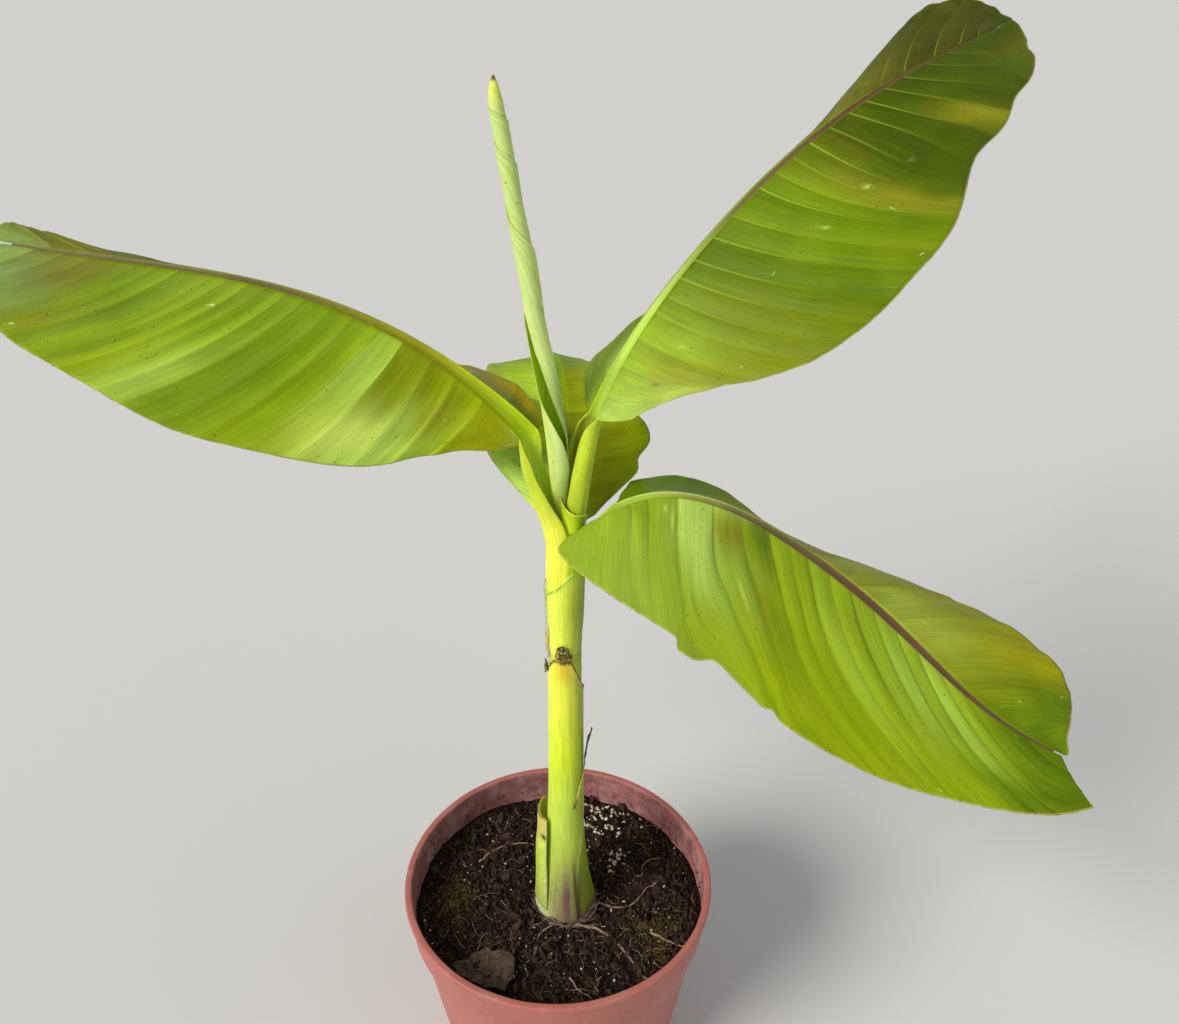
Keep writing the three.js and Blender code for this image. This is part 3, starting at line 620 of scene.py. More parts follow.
def pot_material():
    """Satin terracotta plastic, scuffed, with dust and soil marks inside, and painted sheen and shade on the
    inner wall.
    """
    f = Finish("pot_plastic", specular=0.4)
    cloud = f.noise((0.012, 0.012, 0.02))
    dust = f.noise((0.06, 0.06, 0.05), detail=6.0, rough=0.65)
    dirt = f.noise((0.11, 0.11, 0.16), detail=8.0, rough=0.75)
    splash = f.noise(0.35, detail=5.0)
    inner = f.field("inner", "Fac")
    colour = f.coat(
        (0.40, 0.120, 0.090),
        (f.span(cloud, 0.35, 0.7), (0.46, 0.142, 0.110)),
        (f.span(dust, 0.52, 0.78, 0, 0.35), (0.60, 0.33, 0.27)),
        # The inner wall is mixed towards a pinker, bluer tone: painted sheen and shade.
        (f.times(inner, 0.55), (0.30, 0.15, 0.16)),
        (f.times(inner, f.span(dirt, 0.46, 0.66), 0.75), (0.085, 0.045, 0.038)),
        (f.times(inner, f.span(dust, 0.5, 0.62), 0.5), (0.48, 0.30, 0.26)),
        (f.span(splash, 0.62, 0.7, 0, 0.35), (0.16, 0.07, 0.05)))
    height = f.add(f.times(f.noise((0.6, 0.6, 0.03)), 0.5), f.noise(0.9))
    rough = f.add(f.span(dust, 0.4, 0.7, 0.42, 0.6), f.times(inner, 0.2))
    return f.done(colour, height, 0.1, rough)


def grain_material(name, dark, light, roughness, scale, depth):
    """Soil, bark, perlite or fibre: two colours in a fine noise."""
    f = Finish(name, roughness=roughness, specular=0.08)
    blotch = f.noise(scale, detail=6.0, rough=0.7)
    fine = f.noise(4 * scale, detail=4.0)
    shadow = tuple(0.45 * v for v in dark)
    colour = f.coat(dark, (f.span(blotch, 0.36, 0.66), light), (f.span(fine, 0.45, 0.75, 0, 0.5), shadow))
    return f.done(colour, f.add(blotch, f.times(fine, 0.6)), depth)


LEAF_TOP = leaf_material("leaf_top")
LEAF_UNDER = leaf_material("leaf_under", under=True)
SKIN = skin_material("living_skin")
DRY = skin_material("dry_skin", dry=True)


# Blades and their stalks

def rib_frames(leaf):
    """Shares, points, tangents, sides to the right and upper normals along a midrib."""
    s = np.linspace(0, 1, leaf["rows"] + 1)

    def direction(q):
        heading = np.radians(blend(leaf["heading"], q))
        rise = np.radians(blend(leaf["rise"], q))
        return stack(np.cos(rise) * np.cos(heading), np.cos(rise) * np.sin(heading), np.sin(rise))

    steps = direction((s[:-1] + s[1:]) / 2) * leaf["length"] / leaf["rows"]
    points = np.vstack([np.zeros(3), np.cumsum(steps, 0)]) + leaf["base"]
    tangent = direction(s)
    side = unit(np.cross(tangent, UP))
    return s, points, tangent, side, np.cross(side, tangent)


def reach_of(half, s):
    """Length of the side veins, with the dents and tabs of the margin."""
    reach = blend(half["reach"], s)
    for centre, width, depth in half["bites"]:
        reach = reach - depth * hill(s, centre, width)
    for start, end, size in half["tabs"]:
        reach = reach + size * smooth(start - 0.004, start + 0.004, s) * smooth(end + 0.02, end - 0.02, s)
    return reach


def half_blade(frames, half, hand, u):
    """Grid of points of one half blade; hand is 1 on the right and -1 on the left."""
    s, points, tangent, side, normal = (part[:, None] for part in frames)
    reach = reach_of(half, s)
    lift = np.radians(blend(half["lift"], s))
    curl = np.radians(blend(half["curl"], s))
    curl = np.where(abs(curl) < 1e-4, 1e-4, curl)
    forward = blend(half["vein"], s) + TIP_SWEEP * smooth(0.96, 1, s)
    sweep = np.radians(forward + VEIN_HOOK * 0.5 * u)
    across = reach * np.cos(sweep)
    out = across * (np.sin(lift + curl * u) - np.sin(lift)) / curl
    rise = across * (np.cos(lift) - np.cos(lift + curl * u)) / curl
    ahead = reach * np.sin(sweep) * u
    return points + hand * out[..., None] * side + rise[..., None] * normal + ahead[..., None] * tangent


def upper_normals(grid, frames):
    """Normals of a half blade, on the side of the midrib's upper face."""
    normal = grid_normals(grid)
    return normal * np.sign(np.sum(normal * frames[4][:, None], -1, keepdims=True) + 1e-9)


def rib_seat(frames, leaf, fold):
    """Centre, side, radius and half opening of the midrib's section, below the fold of the blade."""
    radius = blend(leaf["rib"], frames[0])[:, None]
    wrap = np.radians(blend(RIB_WRAPS, frames[0]))[:, None]
    centre = frames[1] + fold * radius * np.minimum(np.cos(wrap), 0.05)
    return centre, unit(np.cross(frames[2], fold)), radius, wrap


def pleats(half, q, length, seed):
    """Distance to the nearest crease in mm, its strength, and the share, lightness and middle of a pleat.

    The distance changes sign at each crease and nowhere else."""
    draw = np.random.default_rng(seed)
    if "creases" in half:
        places, strengths = np.array(half["creases"]).T
    else:
        places = np.cumsum(draw.uniform(0.03, 0.10, 40))
        places = places[places < 0.97]
        strengths = draw.uniform(0.1, 0.6, len(places))
    knots = np.concatenate([[-0.05], places, [1.05]])
    cell = np.searchsorted(places, q)
    share = np.clip((q - knots[cell]) / (knots[cell + 1] - knots[cell]), 0, 1)
    nearest = np.clip(np.where(share < 0.5, cell - 1, cell), 0, len(places) - 1)
    lightness = draw.uniform(0.3, 1.0, len(places) + 1)[cell]
    distance = (q - places[nearest]) * length * (1 - 2 * (nearest % 2))
    return distance, strengths[nearest], share, lightness, (knots[cell] + knots[cell + 1]) / 2


def half_tones(half, q, u, pleat, seed):
    """Tones of one half blade: from midrib to margin, with zones, painted light and shade on its pleats, and
    a factor that lightens or darkens the whole half as painted light and shade.
    """
    crease, _, share, lightness, middle = pleat
    across = smooth(0.15, 0.85, u + 0.12 * noise(q * 30, u * 2, seed))[..., None]
    whole = 0.6 - 0.3 * u
    settled = q * (1 - whole) + middle * whole + 0.005 * noise(q * 40, u * 6, seed + 1)
    colour = tones(half["near"], settled) * (1 - across) + tones(half["far"], settled) * across
    speck_place = q + 0.0015 * noise(q * 400, u * 60, seed + 3)
    for a, b, size_a, size_b, name, weight in half["zones"]:
        place = speck_place if size_a < 0.01 else settled
        colour = tint(colour, (weight * hill(place, a, size_a) * hill(u, b, size_b), name))
    # Painted light and shade on the pleats: lighter just past each crease towards the tip, darker towards
    # the next crease, and lighter or darker per pleat, fading towards the margin. Then a little random tone,
    # and the factor for the whole half, which is painted light and shade.
    fade = (1 - 0.7 * smooth(0.25, 1, u)) * smooth(0, 0.7, abs(crease))
    light = 1 + fade * (half["pleat_painted_light"] * lightness * (0.5 - share) + 0.2 * (lightness - 0.65))
    light = light * (1 + 0.05 * noise(q * 60, u * 3, seed + 2) + 0.09 * noise(q * 22, u * 6, seed + 4))
    return colour * light[..., None] * half["painted_light_gain"]


def half_relief(leaf, half, q, u, pleat, seed):
    """Height of a half blade's pleats, dents and waves above its smooth surface."""
    crease, strength, share, lightness, _ = pleat
    along = q * leaf["length"]
    rise = leaf["step"] * (share - 0.5) * lightness * smooth(0, 1.3, abs(crease))
    rise = rise - leaf["sag"] * 4 * share * (1 - share) + leaf["ridge"] * strength * hill(crease, 0, 0.9)
    rise = softened(rise * smooth(0.02, 0.25, u) * (1 - 0.35 * u), 1)
    rise = rise + 0.9 * noise(along / 19, u * 2.2, seed + 3) * smooth(0.05, 0.5, u)
    rise = rise + 0.8 * noise(along / 9, 0, seed + 4) * smooth(0.75, 1.0, u)
    for a, b, size_a, size_b, height in half["dents"]:
        rise = rise + height * hill(q, a, size_a) * hill(u, b, size_b)
    return rise


def blade(name, seed):
    """Both half blades of a leaf, each a thin closed sheet with pleats and a rippled margin."""
    leaf = LEAVES[name]
    frames = rib_frames(leaf)
    s = frames[0][:, None]
    halves = []
    for (key, hand), count in zip(HALVES, leaf["columns"]):
        half, u = {**PLAIN_HALF, **leaf[key]}, np.linspace(0, 1, count + 1)[None, :]
        halves.append((half, hand, u, half_blade(frames, half, hand, u)))
    fold = unit(sum(upper_normals(grid, frames)[:, 1] for *_, grid in halves))
    centre, side, radius, wrap = rib_seat(frames, leaf, fold)
    grids, faces, kinds, start = [], [], [], 0
    fields = {"vein": [], "crease": [], "tone": []}
    for half, hand, u, grid in halves:
        sheet, kind = shell_faces(*grid.shape[:2])
        q = s - blend(half["skew"], s) * u
        pleat = pleats(half, q, leaf["length"], seed + hand)
        rise = half_relief(leaf, half, q, u, pleat, seed + 7 * hand)
        grid = grid + rise[..., None] * upper_normals(grid, frames)
        lip = centre + hand * side * np.sin(wrap) * radius * 0.93 - fold * np.cos(wrap) * radius
        grid = grid + (lip - frames[1])[:, None] * ((1 - u) ** 1.6)[..., None]
        skin = upper_normals(grid, frames) * (BLADE_THICKNESS / 2 * (1 - 0.5 * smooth(0.9, 1, u)))[..., None]
        grids += [grid + skin, grid - skin]
        faces.append((sheet[:, ::-1] if hand < 0 else sheet) + start)
        start += 2 * s.size * u.size
        kinds += kind
        tone = half_tones(half, q, u, pleat, seed + 5 * hand)
        label = stack(q * leaf["length"] + HALF_SHIFT * hand, u, (1 - u) * reach_of(half, s))
        line = stack(pleat[0], leaf["line"] * pleat[1] * smooth(0.75, 0.1, u), 0)
        for under in (0.0, UNDER_PALENESS):
            fields["vein"].append(label)
            fields["crease"].append(line)
            fields["tone"].append(tone * (1 - under) + SHADE["haze"] * under)
    make(f"blade_{name}", grids, np.vstack(faces), [LEAF_TOP, LEAF_UNDER], "leaf_green", [f"leaf_{name}"],
         fields, kinds)
    return frames, fold


def channel(places, keels, sides, radius, wall, first, last, flare):
    """Outer and inner grids of an open channel from its first to its last angle round the keel."""
    share = np.linspace(-1, 1, STALK_COLUMNS)[None, :]
    turn = np.where(share < 0, -share * first[:, None], share * last[:, None])
    edge = np.minimum(0.5, 0.3 * radius)[:, None]
    thick = edge + (wall[:, None] - edge) * np.cos(share * math.pi / 2).clip(0) ** 0.8
    reach = radius[:, None] * (1 + (flare[:, None] - 1) * smooth(-0.35, -1.0, share))

    def lay(r):
        return (places[:, None] + (r * np.cos(turn))[..., None] * keels[:, None]
                + (r * np.sin(turn))[..., None] * sides[:, None])

    return lay(reach), lay(reach - thick), turn * radius[:, None], share


def stalk(name, frames, fold, seed):
    """The stalk from the stem and the midrib that it turns into, as one channelled limb."""
    leaf, spec = LEAVES[name], STALKS[name]
    s = frames[0]
    centre, _, rib_radius, rib_wrap = rib_seat(frames, leaf, fold)
    rib_radius, rib_wrap = rib_radius[:, 0], np.degrees(rib_wrap[:, 0])
    keep = int(RIB_END * len(s))
    stations = np.vstack([spec["path"], centre[0]])
    spots = run_length(stations)
    t = np.linspace(0, 1, int(spots[-1]) + 1)[:-1]
    spots = spots / spots[-1]

    def along(key, rib_values):
        values = spec[key]
        lower = np.interp(t, spots if len(values) == len(spots) else np.linspace(0, 1, len(values)), values)
        return softened(np.concatenate([lower, rib_values[:keep]]), 8)

    settle_in = smooth(0, 0.05, s)
    keel_wall = spec["keel"][-1] * (1 - settle_in) + 0.6 * rib_radius * settle_in
    first, last = np.radians(along("first", -rib_wrap)), np.radians(along("last", rib_wrap))
    places = softened(np.vstack([between(t, spots, stations), centre[:keep]]), 14)
    tangent = unit(np.gradient(places, axis=0))
    facing = np.radians(np.interp(t, spots, spec["facing"]))
    settle = smooth(0.84, 1.0, t)[:, None]
    keels = stack(np.cos(facing), np.sin(facing), 0) * (1 - settle) - fold[0] * settle
    keels = np.vstack([keels, -fold[:keep]])
    keels = unit(keels - tangent * np.sum(keels * tangent, -1, keepdims=True))
    outer, inner, turn, share = channel(
        places, keels, unit(np.cross(keels, tangent)), along("radius", rib_radius),
        along("keel", keel_wall), first, last, along("flare", np.ones(len(s))))
    distance = run_length(places)[:, None]
    grain = stack(turn, distance, 0)
    outside = np.vstack([tones(spec["outside"], t), tones(leaf["rib_edge"], s[:keep])])[:, None]
    # Inside the channel the tones are partly painted: lightened against its shadow in some stalks, darkened
    # as painted shade in others.
    inside = np.vstack([tones(spec["inside"], t), tones(leaf["rib_floor"], s[:keep])])[:, None]
    lip = smooth(0.84, 0.97, abs(share))[..., None]
    wear = (1 + 0.08 * noise(turn / 3, distance / 40, seed))[..., None]
    fields = {"grain": [grain, grain + [INSIDE_SHIFT, 0, 0]],
              "tone": [outside * wear, (inside * (1 - lip) + outside * lip) * wear]}
    make(f"stalk_{name}", [outer, inner], shell_faces(*turn.shape)[0], [SKIN], "petiole_green",
         [f"petiole_{name}", f"leaf_{name}"], fields)


for order, side_name in enumerate(LEAVES):
    leaf_seed = SEED + 100 + 20 * order
    stalk(side_name, *blade(side_name, leaf_seed), leaf_seed + 10)


# The stem and its sheaths

def stem_axis(z):
    return STEM_CENTRE[0] + STEM_LEAN * ((z - STEM_FOOT) / (STEM_FORK - STEM_FOOT)), STEM_CENTRE[1]


def stem_radius(z):
    """Outer radius of the stem at heights z, smoothed between its stations."""
    height = z - STEM_FOOT
    return sum(np.interp(height + d, STEM_HEIGHTS, STEM_RADII) for d in (-3, 0, 3)) / 3


def stem_tone(z, azimuth):
    """Tone of the stem: yellow-green, yellower below the arch, purple and pale at the foot, and greener and
    darker towards the right side, partly its own colour and partly painted shade.
    """
    wave = 0.10 * noise(azimuth / 14, z / 60, SEED + 20)
    streak = 0.8 + 0.3 * noise(azimuth / 4, z / 40, SEED + 27)
    return tint(
        tones("sap cane reed chartreuse lemon flax flax", (z - STEM_FOOT) / (STEM_FORK - STEM_FOOT)),
        (0.6 * smooth(-90, -15, azimuth) + wave, "lime"),
        # The shade tone on the right side is painted shade.
        (0.45 * smooth(-50, 0, azimuth), "shade"),
        (0.45 * hill(z, 372, 26) * smooth(-110, -60, azimuth), "olive"),
        (0.5 * smooth(205, 140, z) * hill(azimuth, -30, 45), "green"),
        (streak * smooth(196, 150, z) * hill(azimuth, -90, 34), "plum"),
        (0.75 * hill(azimuth, -66 - (z - 140) * 0.05, 6) * smooth(200, 160, z), "wine"),
        (0.8 * smooth(143, 136, z) * hill(azimuth, -20, 50), "bark"),
        (0.8 * smooth(148, 137, z) * smooth(-105, -150, azimuth), "chalk"))


def shell(name, axis, z, radius, azimuth, wall, width, tones_of_sides, slot, nodes, material=SKIN):
    """A thin curved sheet round an upright axis, from grids of height, outer radius, azimuth and tones."""
    turn = np.radians(azimuth)
    outer = upright(*axis, z, radius, turn)
    grain = np.broadcast_to(stack(turn * width, z, 0), outer.shape)
    sides = [np.broadcast_to(tone, outer.shape) for tone in tones_of_sides]
    make(name, [outer, upright(*axis, z, radius - wall, turn)], shell_faces(*outer.shape[:2])[0], [material],
         slot, nodes, {"grain": [grain, grain], "tone": sides})


def sheath(name, z, radius, azimuth, wall, tone, slot, node, material=SKIN, inner_tone=None):
    """A thin curved sheet round the stem."""
    back = tone * 0.6 if inner_tone is None else tone * 0.2 + SHADE[inner_tone] * 0.8
    shell(name, stem_axis(z), z, radius, azimuth, wall, radius, (tone, back), slot, [node], material)


def stem_core():
    """The rolled sheaths inside, from the soil to the fork, with a stepped margin on the back."""
    rows, columns = 190, 96
    z = np.linspace(STEM_FOOT, STEM_FORK, rows)[:, None]
    azimuth = np.linspace(-180, 180, columns + 1)[None, :-1]
    turn = np.radians(azimuth)
    step = smooth(-2, 2, azimuth - (60 + (z - 250) * 0.12)) * smooth(0, -20, azimuth - 175)
    radius = stem_radius(z) - smooth(351, 340, z) + 0.45 * step + 0.12 * noise(turn * 5, z / 25, SEED)
    radius = radius - 0.35 * smooth(384, 392, z + 6 * np.sin(np.radians(azimuth + 90)))
    fields = {"grain": [stack(turn * 10, z, 0)], "tone": [stem_tone(z, azimuth)]}
    make("stem_core", [upright(*stem_axis(z), z, radius, turn)], grid_faces(rows, columns, closed=True),
         [SKIN], "stem_green", ["stem"], fields, caps=end_caps(0, columns, (rows - 1) * columns))


def front_sheath():
    """The outermost sheath round the front, which ends in a dry-edged arch."""
    t, u = lattice(190, 76)
    azimuth = -190 + (blend([-68, -52, -14, -8, -10], t) + 190) * u
    side, peak, bow = 331 - 13 * u, 345, np.sin(math.pi * u)
    arch = np.minimum(side + (peak - side) * bow ** 2, 339 + 1.5 * bow)
    z = STEM_FOOT + (arch - STEM_FOOT) * t
    edge = np.maximum(smooth(0.95, 1.0, u), smooth(0.04, 0, u)) * smooth(0.12, 0.3, t)
    top = smooth(0.965, 1.0, t)
    radius = stem_radius(z) + 0.10 * noise(np.radians(azimuth) * 5, z / 30, SEED + 1)
    radius = radius + 0.5 * top + 0.3 * edge
    glow = smooth(0.91, 0.975, t + 0.02 * noise(azimuth / 7, 0, SEED + 2)) * hill(azimuth, -95, 36)
    tone = tint(
        stem_tone(z, azimuth),
        (0.7 * glow, "ochre"),
        (0.6 * smooth(0.955, 0.985, t) * smooth(-80, -50, azimuth), "straw"),
        (0.95 * smooth(0.985, 0.996, t + 0.004 * noise(azimuth / 6, 0, SEED + 21)), "bark"),
        (0.55 * edge, "chalk"),
        (smooth(0.985, 1.0, u) * smooth(0.55, 0.75, t), "bark"))
    sheath("sheath_front_skin", z, radius, azimuth, 0.9 - 0.4 * top, tone, "sheath_green", "sheath_front",
           inner_tone="straw")


def dry_stub():
    """The stub of an old sheath that stands off the stem behind its left side, dry at its top."""
    t, u = lattice(90, 48)
    u = 2 * u - 1
    z = 140 + 74 * t + 3.5 * smooth(0.9, 1, t) * noise(u * 5, 0, SEED + 3)
    z = z - 3 * smooth(0.2, 1, u) * smooth(0.8, 1, t)
    azimuth = blend([177, 174, 172, 170], t) + blend([55, 52, 50, 48], t) * u
    stand = 1.4 + blend([0, 2.8, 4.6, 5.4], t) * smooth(1.6, 0, u) + 0.5 * noise(u * 2.5, t * 5, SEED + 4)
    radius = stem_radius(z) + stand + 0.9 * smooth(0.85, 1, u) * smooth(0.2, 0.6, t)
    tone = tint(
        tones("sap cane reed reed cane", t),
        (0.85 * smooth(0.66, 0.84, t + 0.08 * noise(u * 4, t * 6, SEED + 5)), "straw"),
        (smooth(0.975, 0.99, t + 0.01 * noise(u * 9, 0, SEED + 6)), "bark"),
        (0.7 * smooth(0.86, 0.93, u) * smooth(0.05, 0.2, t), "chalk"),
        (hill(t, 0.80, 0.03) * hill(u, 0.85, 0.2), "char"))
    # The inner face is toned a light lemon, partly painted light against the shadow between the stub and the
    # stem.
    sheath("sheath_stub", z, radius, azimuth, 0.9, tone, "sheath_dry", "sheath_dry_left", inner_tone="lemon")


def dry_ribbon():
    """The dry ribbon that peels off the sheath's right margin and ends in a dark wisp."""
    t, u = lattice(110, 9)
    u = 2 * u - 1
    width = blend([2, 3, 5, 8, 5], t) * (1 + 0.5 * noise(t * 11, 0, SEED + 26))
    azimuth = blend([-64, -44, -18, -6, -4], t) + width * u
    z = 226 + 57 * t
    radius = stem_radius(z) + 0.9 + blend([0, 0.2, 0.6, 1.5, 4.6], t) + 0.35 * noise(t * 14, u, SEED + 6)
    tone = tint(
        tones("bark straw lemon rust bark bark umber", t),
        (0.75 * smooth(-0.2, 0.6, u) * smooth(0.4, 0.55, t), "char"),
        (0.9 * smooth(0.05, 0.0, t), "char"))
    sheath("sheath_ribbon", z, radius, azimuth, 0.5, tone, "sheath_dry", "sheath_dry_right", DRY)


def fork_sheath():
    """The outermost sheath of the fork, whose margin climbs across the front from left to right."""
    t, u = lattice(70, 84)
    azimuth = -186 + 226 * u
    top = np.interp(azimuth, [-186, -147, -116, -86, -60, -41, 40], [378, 384.7, 390, 397, 401, 404, 404.5])
    top = softened(top.T, 6).T + 0.4 * noise(u * 16, 0, SEED + 7)
    foot = 337
    z = foot + (top - foot) * t
    ripple = 0.12 * noise(u * 9, t * 2, SEED + 8) + 0.35 * smooth(0.965, 1.0, t)
    radius = stem_radius(z) - 0.8 + 1.25 * smooth(340, 368, z) + ripple
    tone = tint(
        stem_tone(z, azimuth),
        (0.5 * smooth(0.9, 0.97, t), "pale"),
        # The olive towards the foot, just above the arch, is painted shade.
        (0.35 * smooth(358, 346, z), "olive"),
        (0.8 * smooth(0.03, 0.0, u), "chalk"),
        (0.9 * smooth(0.982, 0.992, t) * smooth(-0.2, 0.3, noise(u * 14, 0, SEED + 9)), "bark"))
    sheath("sheath_fork", z, radius, azimuth, 0.55, tone, "stem_green", "stem", inner_tone="pale")


def left_membrane():
    """The pale dry membrane that stands off the stem's left edge below the fork."""
    t, u = lattice(110, 8)
    z = 339 + 52 * t
    azimuth = -158 - 20 * u - 4 * noise(t * 6, 0, SEED + 10)
    lift = 0.9 + 0.9 * hill(t, 0.25, 0.2) + 0.5 * noise(t * 9, 3, SEED + 11)
    radius = stem_radius(z) + 0.6 + 0.7 * lift * u * smooth(0, 0.1, t) * smooth(1, 0.9, t)
    mark = smooth(0.35, 0.6, noise(t * 13, 0, SEED + 12)) * smooth(0.4, 1, u)
    tone = tint(tones("chalk straw chalk chalk pale chalk", t), (0.9 * mark, "bark"))
    sheath("sheath_membrane", z, radius, azimuth, 0.35, tone, "sheath_dry", "stem", DRY)


def scrap(name, azimuth, z, width, height, stand, seed):
    """A curled scrap of dead leaf base, brown and crumpled, that sits on the stem."""
    t, u = lattice(26, 30)
    t, u = 2 * t - 1, 2 * u - 1
    outline = 0.86 + 0.14 * noise(np.arctan2(t, u) * 2.2, 0, seed)
    z = z + height / 2 * t * np.sqrt(1 - 0.5 * u * u) * outline + 0.7 * noise(u * 2, t * 2, seed + 1)
    turn = azimuth + np.degrees(width / 2 * u * np.sqrt(1 - 0.5 * t * t) * outline / 11)
    radius = stem_radius(z) + stand + 0.7 * noise(u * 3, t * 3, seed + 2) + 0.7 * t * t + 0.4 * u * u
    tone = tint(
        tones("char bark umber straw umber", 0.5 + 0.5 * noise(u * 5, t * 4, seed + 3)),
        (0.7 * smooth(0.85, 1, np.maximum(abs(u), abs(t))), "char"))
    sheath(name, z, radius, turn, 0.5, tone, "sheath_dry", "sheath_front", DRY)


def collar_sheath():
    """The sheath round the foot of the upper stalk, with a dry rolled margin."""
    t, u = lattice(70, 72)
    azimuth = -185 + 193 * u
    top = np.interp(azimuth, [-185, -178, -147, -116, -86, -47, -12, -2, 8],
                    [447, 446.5, 441, 437.4, 435, 433.8, 432.6, 427, 424])
    ragged = hill(azimuth, -158, 12)
    top = softened(top.T, 4).T + (0.3 + 1.6 * ragged) * noise(azimuth / 3, 0, SEED + 13)
    foot = 396
    z = foot + (top - foot) * t
    *axis, radius = at_heights(z, [(foot, 7.1, 0, 10.3), (400, 7.2, 0, 10.3), (412, 8.6, 0.5, 8.6),
                                   (420, 9.8, 1, 7.6), (430, 11.3, 1.5, 7.3), (436, 12, 1.8, 7.2),
                                   (450, 12.8, 2, 7.2)])
    radius = radius + 0.15 * noise(u * 6, t * 3, SEED + 14) + 0.6 * smooth(0.955, 1.0, t)
    tone = tint(
        tones("chartreuse lemon chartreuse apple", t),
        # The shade tone towards the right is painted shade; the flax band below the rim is partly its pale
        # margin and partly painted light against the shade under the lip.
        (0.5 * smooth(-70, -10, azimuth), "shade"),
        (smooth(0.955, 0.975, t), "flax"),
        (0.7 * ragged * smooth(0.93, 0.97, t) + 0.3 * smooth(0.992, 1, t), "rust"))
    shell("sheath_collar", axis, z, radius, azimuth, 0.55, 8, (tone, tone * 0.5), "petiole_green",
          ["petiole_upper"])


stem_core()
front_sheath()
dry_stub()
dry_ribbon()
fork_sheath()
left_membrane()
collar_sheath()
scrap("scrap_arch", -98, 347, 9, 11, 1.1, SEED + 15)
scrap("scrap_swirl", -88, 345, 8, 6, 1.9, SEED + 22)
scrap("scrap_left", -163, 333, 5, 9, 1.0, SEED + 18)


# The furled leaf: (height, axis x, axis y, radius) of its outer turns, (height, azimuth) of their
# free edge, and (height, axis x, axis y, radius) of the inner turns
WRAP = [(392, 7.2, 0.5, 4.2), (400, 7, 0.5, 4.2), (439, 4.8, 3, 4.1), (447, 4.9, 3.1, 4.5),
        (457, 4.9, 3.2, 5.3), (475, 3.8, 3, 5.45), (497, 1.3, 2.8, 5.45), (510, -0.9, 2.6, 5.45),
        (523, -3, 2.4, 5.45), (534, -4.7, 2.2, 5.3), (543, -6, 2, 5.25), (570, -9.35, 1.2, 5.35),
        (595, -13.6, 0.4, 4.3), (614, -16.3, 0.2, 4.45), (624, -17.7, 0.2, 4.1), (632, -19, 0.1, 4.2),
        (636, -19.6, 0.1, 3.7), (641, -20.4, 0, 3.5), (644.5, -20.7, 0, 2.8), (648, -20.8, 0, 2),
        (650, -20.8, 0, 1.2), (651.5, -20.8, 0, 0.4)]
FREE_EDGE = [(392, 1080), (457, 1080), (464.4, 1054), (474.8, 1026), (483.4, 995), (494.5, 950),
             (503, 911), (510, 902), (523, 900), (542, 900), (575.2, 720), (592.5, 540), (614.4, 360),
             (623.9, 180), (633.3, 0), (637.5, -180), (651.5, -420)]
CONE = [(392, 8.2, 1.5, 0.5), (475, 9.1, 2.5, 0.6), (486, 7.1, 2.5, 1.5), (497, 4.2, 2.5, 2.5),
        (508, 1.7, 2.5, 3.5), (519, -0.8, 2.4, 4.4), (530, -3.4, 2.3, 4.5), (543, -6.05, 2, 4.8),
        (570, -9.35, 1.2, 4.7), (595, -13.6, 0.4, 3.7), (614, -16.3, 0.2, 3.8), (632, -19, 0.1, 3.5),
        (644.5, -20.7, 0, 2.2), (650, -20.8, 0, 0.5)]
INNER_END = 705
MOST_OPEN_TURN = 375
ROLLED_TURN = 500
SHEET_LOSS = 0.13
SHEET_WALL = 0.4
FAR_FROM_CREASE = [9.0, 0.0, 0.0]


def roll_stations(stations, rows):
    """Heights, axis and radius of a roll, as columns."""
    z = np.linspace(stations[0][0], stations[-1][0], rows)
    return [z[:, None]] + [softened(v, 6)[:, None] for v in at_heights(z, stations)]


def roll_fields(label, *sides):
    """Fields of a rolled sheet, which has no creases, for each of its grids."""
    line = np.broadcast_to(FAR_FROM_CREASE, label.shape)
    return {"vein": [label] * len(sides), "crease": [line] * len(sides), "tone": sides}


